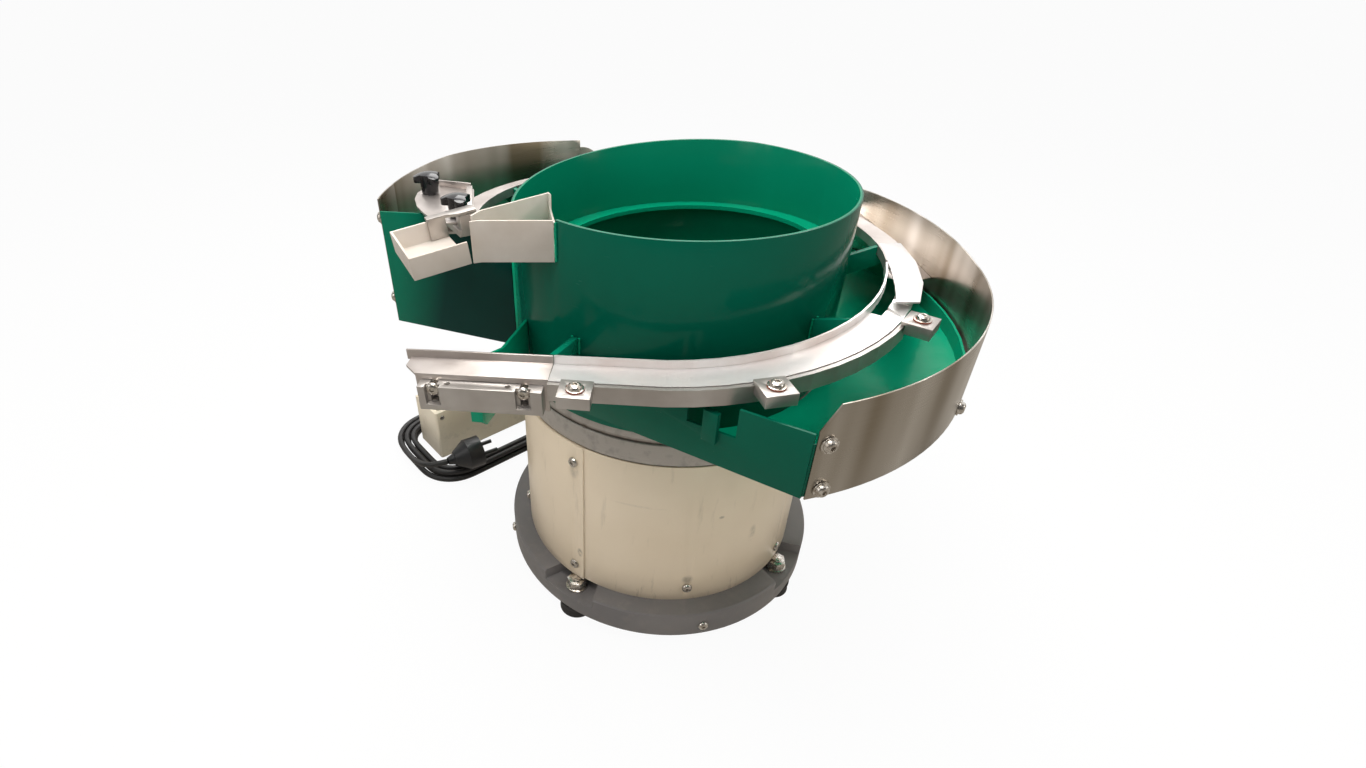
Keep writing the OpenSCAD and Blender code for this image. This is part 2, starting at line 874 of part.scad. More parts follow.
module magnet_core() {
    color(plate_grey)
    translate([-core_l / 2, -core_w / 2, core_foot])
        difference() {
            cube([core_l, core_w, core_h]);
            for (x = [core_leg, core_leg + core_window + core_mid])
                translate([x, -over, core_back]) cube([core_window, core_w + 2 * over, core_h]);
        }
}

module magnet_coil() {
    color(copper)
    translate([0, 0, core_foot + core_back + coil_gap])
        difference() {
            translate([-core_mid / 2 - coil_wall, -core_w / 2 - coil_wall, 0])
                cube([core_mid + 2 * coil_wall, core_w + 2 * coil_wall, coil_h]);
            translate([-core_mid / 2 - coil_gap, -core_w / 2 - coil_gap, -over])
                cube([core_mid + 2 * coil_gap, core_w + 2 * coil_gap, coil_h + 2 * over]);
        }
}

module armature() {
    low = core_foot + core_h + air_gap;
    color(plate_grey) {
        translate([-armature_l / 2, -core_w / 2, low]) cube([armature_l, core_w, armature_t]);
        translate([-armature_post / 2, -armature_post / 2, low + armature_t])
            cube([armature_post, armature_post, top_plate_z - low - armature_t]);
    }
}

// Top plate, mounting disc and centre bolt
module top_plate() {
    color(steel)
    translate([0, 0, top_plate_z])
        rotate_extrude()
            polygon([[bore_r, 0], [drum_r - base_chamfer / 2, 0], [drum_r, base_chamfer / 2],
                [drum_r, top_plate_t - base_chamfer / 2], [drum_r - base_chamfer / 2, top_plate_t],
                [bore_r, top_plate_t]]);
}

module bowl_mount_disc() {
    color(plate_grey)
    translate([0, 0, mount_disc_z])
        rotate_extrude()
            polygon([[bore_r, 0], [mount_disc_r - groove_depth, 0], [mount_disc_r - groove_depth, groove_h],
                [mount_disc_r, groove_h], [mount_disc_r, mount_disc_t], [bore_r, mount_disc_t]]);
}

module centre_bolt() {
    seat = bowl_z + floor_t + floor_rise;
    color(bright_steel) {
        translate([0, 0, top_plate_z + bolt_low]) cylinder(r = bolt_r, h = seat - top_plate_z - bolt_low + bolt_washer_t);
        translate([0, 0, seat]) cylinder(r = bolt_washer_r, h = bolt_washer_t);
        translate([0, 0, seat + bolt_washer_t]) cylinder(r = bolt_nut_r, h = bolt_nut_h, $fn = 6);
        translate([0, 0, seat + bolt_washer_t + bolt_nut_h]) cylinder(r = bolt_r, h = bolt_show);
    }
}

// Bowl: coned floor, wall with its falling rim, and the spiral ledge
module bowl_floor() {
    color(green)
    translate([0, 0, bowl_z])
        rotate_extrude()
            polygon([[bore_r, 0], [bowl_in - weld_gap, 0], [bowl_in - weld_gap, floor_t],
                [floor_seat_r, floor_t + floor_rise], [bore_r, floor_t + floor_rise]]);
}

module bowl_wall() {
    far = 2 * bowl_r;
    color(green)
    difference() {
        translate([0, 0, bowl_z]) ring(bowl_r, bowl_in, bowl_h);
        rotate([0, 0, rim_mid_az])
            translate([0, 0, bowl_top + rim_mid])
                rotate([-atan(rim_fall / bowl_r), 0, 0])
                    translate([0, -far, 0]) cube([far, 2 * far, far]);
        rotate([0, 0, rim_mid_az + rim_turn])
            translate([0, 0, bowl_top - exit_drop])
                linear_extrude(bowl_h)
                    polygon([[0, 0], [far, 0], [far, far * tan(360 + open_az1 - rim_mid_az - rim_turn)]]);
        translate([0, 0, open_z]) ring_sector(bowl_in - over, bowl_r + over, open_az0, open_az1, bowl_h);
        translate([0, 0, bowl_z + window_low])
            ring_sector(bowl_in - over, bowl_r + over, window_az0, window_az1, window_h);
    }
}

module spiral_track() {
    r_out = bowl_in - weld_gap;
    r_in = r_out - ledge_w;
    steps = round((ledge_start_az - ledge_end_az) / ledge_step);
    frames = [for (i = [0 : steps]) let (a = mix(ledge_end_az, ledge_start_az, i / steps))
        [0, 0, a, ledge_exit_z - ledge_rise * (a - ledge_exit_az) / 360]];
    profile = [[r_in, ledge_lip_h], [r_in + ledge_lip_t, ledge_lip_h], [r_in + ledge_lip_t, ledge_slope],
        [r_out, 0], [r_out, -ledge_t], [r_in, ledge_slope - ledge_t]];
    color(green)
        mirror([0, 1, 0]) skin(swept(profile, [for (f = frames) [f[0], f[1], -f[2], f[3]]]), ell_caps);
}

// Return pan: a sheet that rises outwards and to its left end, with a low wall at its edge
function pan_share(a) = clamp01((a - guard_az0) / (pan_az1 - guard_az0));
function pan_turn(a) = clamp01((a - guard_az1) / pan_turn_run);
function pan_front_r(a) = (bowl_r + panel_off) / cos(min(80, a - panel_az));
function pan_out_r(a) = min(mix(guard_r, left_guard_r, pan_turn(a)) - pan_out_gap,
    a < guard_az0 + 4 ? pan_front_r(a) - 0.2 : guard_r * 2);
function pan_out_h(a) = a < guard_az0 + 4
    ? bowl_z + panel_low + 2 + panel_rise * clamp01(pan_front_r(a) * sin(a - panel_az) / panel_reach)
    : pan_out_z + pan_out_lift * pan_share(a);
function pan_lip(a) = a < guard_az0 + 1 ? pan_wall_t : pan_wall_h;
function pan_ring(a) = let (
        skew = pan_skew * clamp01((a - pan_skew_from) / (pan_az1 - pan_skew_from)),
        ri = bowl_r + pan_in_gap, ro = max(pan_out_r(a), pan_first_r),
        zi = pan_in_z + pan_in_lift * pan_share(a), zo = pan_out_h(a), lip = pan_lip(a))
    [concat(on_circle(ri, a + skew), zi), concat(on_circle(ro - pan_wall_t, a), zo),
        concat(on_circle(ro - pan_wall_t, a), zo + lip), concat(on_circle(ro, a), zo + lip),
        concat(on_circle(ro, a), zo - pan_t), concat(on_circle(ri, a + skew), zi - pan_t)];

module return_pan() {
    front = [for (a = [pan_az0 : pan_step : guard_az0 - pan_step / 4]) a];
    rest = [for (i = [0 : 43]) mix(guard_az0 + 1.4, pan_az1, i / 43)];
    pan_caps = [[0, 1, 4], [0, 4, 5], [1, 2, 3], [1, 3, 4]];
    color(green)
        mirror([0, 1, 0])
            skin([for (a = concat(front, rest)) [for (p = pan_ring(a)) [p[0], -p[1], p[2]]]], pan_caps);
}

// Front panel of the pan: it leaves the bowl as a tangent and folds back along the guard
module in_panel() {
    rotate([0, 0, panel_az]) translate([bowl_r + panel_off, 0, 0]) children();
}

function panel_z(y) = bowl_z + panel_low + panel_rise * y / panel_reach;

module pan_front_panel() {
    n0 = panel_reach * panel_notch_share[0];
    n1 = panel_reach * panel_notch_share[1];
    post_y = panel_reach * post_share;
    color(green) {
        in_panel()
            rotate([90, 0, 90])
                linear_extrude(panel_t)
                    polygon([[0, panel_z(0)], [panel_reach, panel_z(panel_reach)],
                        [panel_reach, panel_z(panel_reach) + panel_h], [n1, panel_z(n1) + panel_h],
                        [n1, panel_z(n1) + panel_h - panel_notch_depth],
                        [n0, panel_z(n0) + panel_h - panel_notch_depth],
                        [n0, panel_z(n0) + panel_h], [0, panel_z(0) + panel_h]]);
        in_panel()
            translate([panel_t, post_y - post_w / 2, panel_z(post_y) + post_low])
                cube([post_t, post_w, post_h]);
        translate([0, 0, panel_z(panel_reach) + tab_t])
            ring_sector(guard_r - seat_gap - tab_t, guard_r - seat_gap, guard_az0 - tab_lap,
                guard_az0 + tab_w / guard_r * 57.3, panel_h - corner_h / 2);
    }
}

module left_end_plate() {
    plate_out = on_circle(left_guard_r - plate_out_gap, plate_out_az);
    along = plate_out * on_circle(1, plate_yaw);
    bowl_gap_r = bowl_r + plate_in_gap;
    plate_len = -along - sqrt(along * along - plate_out * plate_out + bowl_gap_r * bowl_gap_r);
    color(green)
    translate([plate_out[0], plate_out[1], 0])
        rotate([0, 0, plate_yaw]) {
            rotate([90, 0, 0])
                linear_extrude(plate_t)
                    polygon([[0, left_low + 1], [0, left_top - 9.5],
                        [plate_len * plate_step_shares[0], left_top - 8.5],
                        [plate_len * plate_step_shares[1], left_top - 12.5],
                        [plate_len * plate_step_shares[2], selector_z - 16.4], [plate_len, selector_z - 17],
                        [plate_len, pan_in_z + pan_in_lift - 2]]);
            translate([0, 0, pan_out_z + pan_out_lift + pan_wall_h + move_gap])
                cube([plate_t, tab_w, left_top - 16 - pan_out_z - pan_out_lift - pan_wall_h]);
        }
}

// Guards: rolled stainless sheets with their tops cut on a slope
module right_guard() {
    far = 3 * guard_r;
    color(bright_steel)
    difference() {
        translate([0, 0, guard_low])
            ring_sector(guard_r, guard_r + guard_sheet, guard_az0, guard_az1, guard_high - guard_low);
        intersection() {
            translate([-far, -far, guard_top]) cube([2 * far, 2 * far, far]);
            rotate([0, 0, guard_slope_az])
                translate([guard_slope_off, 0, guard_top])
                    rotate([0, -atan(guard_slope), 0]) translate([-far, -far, 0]) cube([2 * far, 2 * far, far]);
        }
        rotate([0, 0, guard_az0])
            translate([guard_r - over, 0, guard_top - corner_h])
                rotate([90, 0, 90])
                    linear_extrude(guard_sheet + 2 * over)
                        polygon([[-over, 0], [0, 0], [corner_w, corner_h], [corner_w, corner_h + over],
                            [-over, corner_h + over]]);
        for (p = guard_screw_places)
            at_az(p[0], guard_r - over, p[1]) rotate([0, 90, 0]) cylinder(r = m5_hole_r, h = guard_sheet + 2 * over);
    }
}

module left_guard() {
    far = 3 * left_guard_r;
    color(bright_steel)
    difference() {
        translate([0, 0, left_low])
            ring_sector(left_guard_r, left_guard_r + guard_sheet, left_az0, left_az1, left_top - left_low);
        rotate([0, 0, left_slope_az])
            translate([left_slope_off, 0, left_top])
                rotate([0, -atan(left_slope), 0]) translate([-far, -far, 0]) cube([far, 2 * far, far]);
        rotate([0, 0, left_az0])
            translate([left_guard_r - 2 * over, 0, bowl_z + 125])
                rotate([90, 0, 90])
                    linear_extrude(guard_sheet + 6 * over)
                        difference() {
                            translate([-over, -left_round]) square([left_round + over, 2 * left_round]);
                            translate([left_round, -left_round]) circle(r = left_round);
                        }
        for (p = left_screw_places)
            at_az(p[0], left_guard_r - over, p[1]) rotate([0, 90, 0]) cylinder(r = m5_hole_r, h = guard_sheet + 2 * over);
    }
}

module guard_screws() {
    color(bright_steel) {
        for (p = guard_screw_places)
            at_az(p[0], guard_r + guard_sheet + washer_t + seat_gap, p[1]) rotate([0, 90, 0]) guard_screw();
        for (p = left_screw_places)
            at_az(p[0], left_guard_r + guard_sheet + washer_t + seat_gap, p[1]) rotate([0, 90, 0]) guard_screw();
    }
}

module guard_screw() {
    shank = washer_t + guard_sheet + seat_gap;
    translate([0, 0, -washer_t]) cylinder(r = m5_head_r + washer_over, h = washer_t);
    button_screw(shank);
}

// Outer track
module upper_track() {
    color(bright_steel) skin(swept(track_profile, upper_frames()), ell_caps);
}

module lower_track() {
    color(bright_steel)
    difference() {
        skin(swept(track_profile, lower_frames(lower_az1)), ell_caps);
        translate([0, 0, lower_z])
            linear_extrude(lip_h * 3)
                polygon(concat([for (k = [0 : slot_steps])
                    on_circle(track_r + slot_in, mix(slot_az0, slot_az1, k / slot_steps))],
                    [for (k = [slot_steps : -1 : 0])
                    on_circle(track_r + slot_out, mix(slot_az0, slot_az1, k / slot_steps))]));
    }
}

module outer_rail() {
    r0 = floor_out + rail_gap;
    top = -lip_h + track_lift - rail_drop;
    low = -lip_h - track_t - rail_drop;
    profile = [[r0 + rail_t, top], [r0 + rail_t, top - rail_h], [r0, top - rail_h],
        [r0, low - rail_flange_t], [r0 - rail_flange, low - rail_flange_t], [r0 - rail_flange, low],
        [r0, low], [r0, top]];
    caps = [[0, 1, 2], [0, 2, 7], [3, 4, 5], [3, 5, 6]];
    color(steel) skin(swept([for (i = [7 : -1 : 0]) profile[i]], lower_frames(rail_az1)),
        [for (c = caps) [7 - c[2], 7 - c[1], 7 - c[0]]]);
}

module junction_plate() {
    z = upper_z - lip_h + track_lift + junction_lift;
    color(bright_steel)
    translate([0, 0, z])
        linear_extrude(junction_t)
            polygon([on_circle(track_r + lip_t + 0.5, 8), on_circle(floor_out, 8), on_circle(floor_out + 1, -4),
                on_circle(floor_out + 3, -16), on_circle(floor_out + 5, -26.5), on_circle(floor_out - 10, -29.5),
                on_circle(track_r + 13, -27), on_circle(track_r + 8, -20), on_circle(track_r + 4, -10),
                on_circle(track_r + lip_t + 1, -2)]);
}

module deflector_sheet() {
    e0 = on_circle(floor_out + deflector_in[0], deflector_in[1]);
    e1 = on_circle(guard_r - deflector_out[0], deflector_out[1]);
    out = e1 + unit(e1 - e0) * 60;
    color(steel)
    intersection() {
        translate([deflector_x, 0, deflector_z])
            rotate([0, deflector_lean, 0]) translate([-guard_r, -guard_r, 0]) cube([2 * guard_r, 2 * guard_r, deflector_t]);
        linear_extrude(bowl_z * 2)
            intersection() {
                difference() {
                    circle(r = guard_r - weld_gap);
                    circle(r = floor_out + rail_gap);
                }
                polygon([e0 - unit(e1 - e0) * 12, out, on_circle(guard_r * 1.4, deflector_az1 - 8),
                    on_circle(guard_r * 1.4, deflector_az1), [0, 0]]);
            }
    }
}

module clamp_at(a) {
    at_az(a, floor_out + rail_gap, lower_lip_z(a) - lip_h + track_lift) children();
}

module clamp_straight() {
    translate([-clamp_straight_x, 0, lower_z - straight_fall * clamp_straight_x - lip_h + track_lift])
        rotate([0, 0, -90]) translate([floor_out + rail_gap, 0, 0]) children();
}

module track_clamp() {
    difference() {
        translate([0, -clamp_w / 2, 0])
            rotate([90, 0, 0]) translate([0, 0, -clamp_w])
                linear_extrude(clamp_w)
                    polygon([[0, seat_gap], [0, clamp_over_t], [clamp_out, clamp_over_t],
                        [clamp_out, clamp_over_t - clamp_h], [rail_t + move_gap, clamp_over_t - clamp_h],
                        [rail_t + move_gap, seat_gap]]);
        translate([clamp_out - clamp_screw_in, 0, -clamp_h]) cylinder(r = m5_hole_r, h = 2 * clamp_h);
    }
}

module track_clamps() {
    color(bright_steel) {
        for (a = clamp_az) clamp_at(a) track_clamp();
        clamp_straight() track_clamp();
    }
}

module clamp_screw() {
    translate([clamp_out - clamp_screw_in, 0, clamp_over_t + washer_t]) {
        translate([0, 0, -washer_t]) cylinder(r = m5_head_r + washer_over, h = washer_t);
        button_screw(clamp_h + washer_t);
    }
}

module clamp_screws() {
    color(bright_steel) {
        for (a = clamp_az) clamp_at(a) clamp_screw();
        clamp_straight() clamp_screw();
    }
}

// Green flat bars on edge that carry the outer track from the bowl wall
function lip_at(a) = a < lower_az1 ? lower_lip_z(a) : upper_lip_z(a);

module track_arms() {
    r0 = bowl_r + weld_gap;
    r1 = track_r - 2 * weld_gap;
    color(green) {
        for (a = arm_az) {
            top = lip_at(a) - over;
            low = top - lip_h - track_t - weld_gap;
            at_az(a, 0, 0)
                rotate([90, 0, 0]) translate([0, 0, -arm_t / 2])
                    linear_extrude(arm_t)
                        polygon([[r0, top - arm_fall - arm_h], [r1, top - arm_h], [r1 + arm_reach, low - 4],
                            [r1 + arm_reach, low], [r1, low], [r1, top], [r0, top - arm_fall]]);
        }
        a0 = on_circle(bowl_r + first_arm_gap, first_arm_az);
        a1 = [-straight_len - first_arm_past, first_arm_in - track_r];
        span = norm(a1 - a0);
        top = lower_z - straight_fall * straight_len;
        translate([a0[0], a0[1], 0])
            rotate([0, 0, atan2(a1[1] - a0[1], a1[0] - a0[0])])
                rotate([90, 0, 0]) translate([0, 0, -arm_t / 2])
                    linear_extrude(arm_t)
                        polygon([[1, top - arm_fall - first_arm_h], [span - 1, top - arm_h], [span - 1, top - 1],
                            [1, top - arm_fall]]);
    }
}

// Straight outlet with its folded front flange. Local X runs away from the seam, local Y outwards.
module in_outlet() {
    translate([-straight_len - outlet_gap, 0, lower_z - straight_fall * straight_len])
        rotate([0, 0, 180]) rotate([0, atan(straight_fall), 0]) children();
}

module outlet_track() {
    y0 = track_r;
    y1 = y0 + outlet_w;
    color(bright_steel)
    in_outlet()
        difference() {
            union() {
                translate([0, y0, -lip_h - track_t]) cube([outlet_len + outlet_lip_run, lip_t, lip_h + track_t]);
                translate([0, 0, -lip_h - track_t])
                    linear_extrude(track_t)
                        polygon([[0, y0], [outlet_len, y0], [outlet_len, y1 - outlet_chamfer],
                            [outlet_len - outlet_chamfer, y1], [0, y1]]);
                translate([0, y1 - outlet_flange_t, -lip_h - track_t - outlet_flange])
                    cube([outlet_len - outlet_chamfer, outlet_flange_t, outlet_flange + track_t]);
            }
            for (x = side_screw_x)
                translate([side_start + x, y1 + over, -side_top - side_screw_drop])
                    rotate([90, 0, 0]) cylinder(r = m5_hole_r, h = 3 * outlet_flange_t);
        }
}

module outlet_side_plate() {
    y1 = track_r + outlet_w + move_gap;
    color(steel)
    in_outlet()
        translate([side_start, y1, -side_top])
            difference() {
                translate([0, 0, -side_h]) cube([side_l, side_t, side_h]);
                for (x = side_screw_x) {
                    translate([x - side_slot_w / 2, -over, -side_slot_h])
                        cube([side_slot_w, side_t + 2 * over, side_slot_h + over]);
                    translate([x - side_head_w / 2, side_t - side_head_depth, -side_head_h])
                        cube([side_head_w, side_head_depth + over, side_head_h + over]);
                }
                for (x = side_holes_x)
                    translate([x, side_pin_y, -side_hole_depth]) cylinder(r = side_hole_r, h = side_hole_depth + over);
            }
}

module outlet_screws() {
    y1 = track_r + outlet_w + move_gap + side_t - side_head_depth + move_gap;
    color(bright_steel)
    in_outlet()
        for (x = side_screw_x)
            translate([side_start + x, y1, -side_top - side_screw_drop])
                rotate([-90, 0, 0]) button_screw(side_t - side_head_depth + outlet_flange_t + 2 * move_gap);
}

// Green folded bracket that carries the outlet from the bowl wall
module outlet_bracket() {
    c = [-straight_len - bracket_past, -track_r];
    e = on_circle(bowl_r + bracket_gap, bracket_az);
    top = lower_z - straight_fall * (straight_len + bracket_past) - lip_h - track_t - 2 * weld_gap;
    low = bowl_z + bracket_low;
    run = norm(e - c);
    color(green)
    difference() {
        union() {
            translate([c[0], c[1], 0])
                rotate([0, 0, atan2(e[1] - c[1], e[0] - c[0])])
                    rotate([90, 0, 0]) translate([0, 0, -bracket_sheet])
                        linear_extrude(bracket_sheet)
                            polygon([[0, low + 6], [6, low], [run + 4, low], [run + 4, top - 14],
                                [run * 0.5, top - 14], [4, top], [0, top]]);
            translate([c[0] - bracket_flange, c[1], low + 6]) cube([bracket_flange, bracket_sheet, top - low - 6]);
        }
        cylinder(r = bowl_r + weld_gap, h = 2 * bowl_z);
    }
}

// Exit chute: bent walls on a floor, passing through the opening in the bowl wall
function left_of(d) = [-d[1], d[0]];
function bend_normal(p, i) = let (a = left_of(unit(p[max(i, 1)] - p[max(i, 1) - 1])),
        b = left_of(unit(p[min(i, len(p) - 2) + 1] - p[min(i, len(p) - 2)])))
    (a + b) / (1 + a * b);

module strip_wall(p, t, z, h) {
    translate([0, 0, z])
        linear_extrude(h)
            polygon(concat([for (i = [0 : len(p) - 1]) p[i] + bend_normal(p, i) * t / 2],
                [for (i = [len(p) - 1 : -1 : 0]) p[i] - bend_normal(p, i) * t / 2]));
}

module exit_chute() {
    fin_r = norm(chute_back[0]);
    fin_az0 = atan2(chute_back[0][1], chute_back[0][0]);
    fin = [for (i = [0 : fin_steps - 1]) let (a = fin_az1 + (fin_az0 - fin_az1) * i / fin_steps)
        fin_r * [cos(a), sin(a)]];
    floor_edge = concat(chute_front, [for (i = [len(chute_back) - 1 : -1 : 0]) chute_back[i]]);
    color(blasted)
    difference() {
        union() {
            strip_wall(chute_front, chute_sheet, chute_z - chute_sheet, chute_h + 2 * chute_sheet);
            strip_wall(concat(fin, chute_back), chute_sheet, chute_z - chute_sheet, chute_h + 2 * chute_sheet);
            translate([0, 0, chute_z]) linear_extrude(chute_sheet) polygon(floor_edge);
        }
        translate([0, 0, chute_z - 2 * chute_sheet])
            cylinder(r = bowl_r + weld_gap, h = 2 * chute_sheet + fin_lift);
        rotate([0, 0, fin_az1])
            translate([fin_r - 2 * chute_sheet, 0, chute_z + chute_h + 2 * chute_sheet])
                rotate([0, 90, 0]) cylinder(r = fin_cut_r, h = 4 * chute_sheet);
    }
}

// Catch tray: an open box that slopes down to its closed end
module in_tray() {
    translate(tray_corner) rotate([0, 0, tray_yaw]) rotate([0, -tray_pitch, 0]) children();
}

module catch_tray() {
    color(blasted)
    in_tray()
        difference() {
            translate([0, 0, -tray_h]) cube([tray_l, tray_w, tray_h]);
            translate([tray_wall, tray_wall, -tray_h + tray_wall])
                cube([tray_l + over, tray_w - 2 * tray_wall, tray_h]);
        }
}

module tray_bracket() {
    x = tray_l - bracket_plate_w;
    y = tray_w - tray_wall - bracket_plate_t - seat_gap;
    out = clamp_block_y + clamp_block_l;
    color(steel)
    in_tray() {
        translate([x, y, -tray_h + tray_wall + seat_gap])
            cube([bracket_plate_w, bracket_plate_t, tray_h - tray_wall + seat_gap]);
        translate([0, 0, seat_gap])
            linear_extrude(bracket_plate_t)
                polygon([[x, y], [tray_l, y], [clamp_block_x, clamp_block_y],
                    [clamp_block_x + bracket_plate_w, clamp_block_y], [clamp_block_x + bracket_plate_w, out],
                    [x, out]]);
    }
}

// Selector: a bar with two studs, a slotted plate on it and two clamping knobs
stud_dir = (outer_stud - inner_stud) / norm(outer_stud - inner_stud);
stud_heading = atan2(stud_dir[1], stud_dir[0]);
slide_dir = [stud_dir[1], -stud_dir[0]];

module selector_base() {
    run = norm(outer_stud - inner_stud);
    color(steel) {
        translate([inner_stud[0], inner_stud[1], selector_z - bar_t - move_gap])
            rotate([0, 0, stud_heading])
                translate([-bar_lead, -bar_w / 2, 0]) cube([run + bar_lead + bar_end, bar_w, bar_t]);
        in_tray()
            translate([clamp_block_x, clamp_block_y, -clamp_block_low])
                cube([bracket_plate_w, clamp_block_l, clamp_block_low]);
        for (p = [inner_stud, outer_stud])
            translate([p[0], p[1], selector_z - move_gap]) cylinder(r = m5_r, h = stud_len);
        at_az(-168, floor_out - lug / 2 - 1, upper_lip_z(192) - lip_h + track_lift + seat_gap)
            translate([-lug / 2, -lug / 2, 0])
                cube([lug, lug, selector_z - bar_t - move_gap - upper_lip_z(192) + lip_h - track_lift - seat_gap]);
    }
}

// A slot along the slide's direction, with round ends
module selector_slot_cut(p) {
    r = m5_r + move_gap;
    translate([p[0], p[1], selector_z - over])
        rotate([0, 0, stud_heading - 90])
            linear_extrude(selector_t + 2 * over)
                polygon([for (k = [0 : slot_arc_steps]) let (a = -90 + 180 * k / slot_arc_steps)
                    on_circle(r, a) + [selector_slot, 0],
                    for (k = [0 : slot_arc_steps]) let (a = 90 + 180 * k / slot_arc_steps)
                    on_circle(r, a) - [selector_slot, 0]]);
}

module selector_plate() {
    first = selector_outline[0];
    last = selector_outline[len(selector_outline) - 1];
    edge = unit(last - first);
    back = selector_outline[len(selector_outline) - 2];
    color(bright_steel) {
        difference() {
            translate([0, 0, selector_z]) linear_extrude(selector_t) polygon(selector_outline);
            selector_slot_cut(inner_stud);
            selector_slot_cut(outer_stud);
        }
        translate([first[0], first[1], selector_z + selector_t + seat_gap])
            rotate([0, 0, atan2(edge[1], edge[0])])
                translate([strip_start, over, 0]) cube([strip_l, strip_w, strip_h]);
        translate([last[0], last[1], selector_z + selector_t + seat_gap])
            rotate([0, 0, atan2(back[1] - last[1], back[0] - last[0])])
                translate([strip_t, over, 0]) cube([norm(back - last) - 2 * strip_t, strip_t, strip_h + strip_t]);
    }
}

module clamp_knob() {
    difference() {
        intersection() {
            union() {
                cylinder(r1 = knob_hub_r, r2 = knob_hub_top_r, h = knob_h);
                for (k = [0 : 2])
                    rotate([0, 0, 120 * k])
                        translate([0, 0, knob_h - knob_lobe_h]) {
                            translate([knob_r - knob_lobe_r, 0, 0]) cylinder(r = knob_lobe_r, h = knob_lobe_h);
                            translate([0, -knob_lobe_r, 0])
                                cube([knob_r - knob_lobe_r, 2 * knob_lobe_r, knob_lobe_h]);
                        }
            }
            translate([0, 0, knob_h - knob_crown_r]) sphere(r = knob_crown_r);
        }
        translate([0, 0, -over]) cylinder(r = m5_r + knob_bore_gap, h = knob_bore_depth + over);
    }
}

module clamp_knob_inner() {
    color(black)
    translate([inner_stud[0], inner_stud[1], selector_z + selector_t + move_gap])
        rotate([0, 0, 184]) clamp_knob();
}

module clamp_knob_outer() {
    color(black)
    translate([outer_stud[0], outer_stud[1], selector_z + selector_t + move_gap])
        rotate([0, 0, 196]) clamp_knob();
}

// Controller case on the floor, with its front plate on the side turned away from the drum
module in_case() {
    translate([ctl_corner[0], ctl_corner[1], 0]) rotate([0, 0, ctl_yaw]) children();
}

module gland_hole(y) {
    translate([ctl_l - ctl_wall - over, y, gland_row_z])
        rotate([0, 90, 0]) cylinder(r = gland_r + seat_gap, h = ctl_wall + 2 * over);
}

module controller_case() {
    color(cream)
    in_case()
        difference() {
            linear_extrude(ctl_h)
                polygon([[ctl_edge, 0], [ctl_l - ctl_edge, 0], [ctl_l, ctl_edge], [ctl_l, ctl_w - lid_t],
                    [0, ctl_w - lid_t], [0, ctl_edge]]);
            translate([ctl_wall, ctl_wall, ctl_wall])
                cube([ctl_l - 2 * ctl_wall, ctl_w, ctl_h - 2 * ctl_wall]);
            gland_hole(mains_gland_y);
            gland_hole(drive_gland_y);
        }
}

module controller_lid() {
    color(cream)
    in_case()
        difference() {
            translate([0, ctl_w - lid_t, 0]) cube([ctl_l, lid_t, ctl_h]);
            translate([dial_x, ctl_w + over, dial_z])
                rotate([90, 0, 0]) cylinder(r = dial_shaft_hole_r, h = lid_t + 2 * over);
            translate([rocker_x - rocker_w / 2 - move_gap, ctl_w - lid_t - over, rocker_z - rocker_l / 2 - move_gap])
                cube([rocker_w + 2 * move_gap, lid_t + 2 * over, rocker_l + 2 * move_gap]);
            translate([fuse_x, ctl_w + over, fuse_z])
                rotate([90, 0, 0]) cylinder(r = fuse_r + seat_gap, h = lid_t + 2 * over);
        }
}

module case_screw() {
    cylinder(r = ctl_screw_head_r, h = ctl_screw_head_h);
}

module controller_screws() {
    i = ctl_screw_inset;
    color(steel)
    in_case() {
        for (x = [i, ctl_l - i]) {
            translate([x, i, ctl_h]) case_screw();
            translate([x, 0, ctl_h - i]) rotate([90, 0, 0]) case_screw();
            for (z = [i, ctl_h - i])
                translate([x, ctl_w, z]) rotate([-90, 0, 0]) case_screw();
        }
    }
}

module fuse_holder() {
    color(black)
    in_case()
        translate([fuse_x, ctl_w, fuse_z])
            rotate([-90, 0, 0]) {
                translate([0, 0, -fuse_in]) cylinder(r = fuse_r, h = fuse_in);
                cylinder(r1 = fuse_cap_r, r2 = fuse_cap_r * 0.86, h = fuse_cap_h);
            }
}

module control_knob() {
    color(black)
    in_case()
        translate([dial_x, ctl_w + move_gap, dial_z])
            rotate([-90, 0, 0]) {
                cylinder(r = dial_skirt_r, h = dial_skirt_h);
                translate([0, 0, dial_skirt_h]) cylinder(r1 = dial_r, r2 = dial_r * 0.92, h = dial_h - dial_skirt_h);
                translate([0, 0, -dial_shaft_in]) cylinder(r = dial_shaft_r, h = dial_shaft_in);
            }
}

module power_rocker() {
    color(black)
    in_case()
        translate([rocker_x, ctl_w - lid_t / 2, rocker_z])
            rotate([rocker_lean, 0, 0])
                intersection() {
                    translate([-rocker_w / 2, -rocker_depth, -rocker_l / 2 + over])
                        cube([rocker_w, rocker_depth + rocker_proud + over, rocker_l - 2 * over]);
                    translate([-rocker_w, rocker_proud - rocker_r, 0])
                        rotate([0, 90, 0]) cylinder(r = rocker_r, h = 2 * rocker_w);
                }
}

// Glands: two on the case's far end and one in the base disc's rim
module gland(tip, inside, cord_r) {
    translate([0, 0, -inside]) cylinder(r = gland_r, h = inside);
    cylinder(r = gland_nut_r, h = gland_nut_h, $fn = 6);
    translate([0, 0, gland_nut_h]) cylinder(r1 = gland_r, r2 = cord_r + 1, h = tip - gland_nut_h);
}

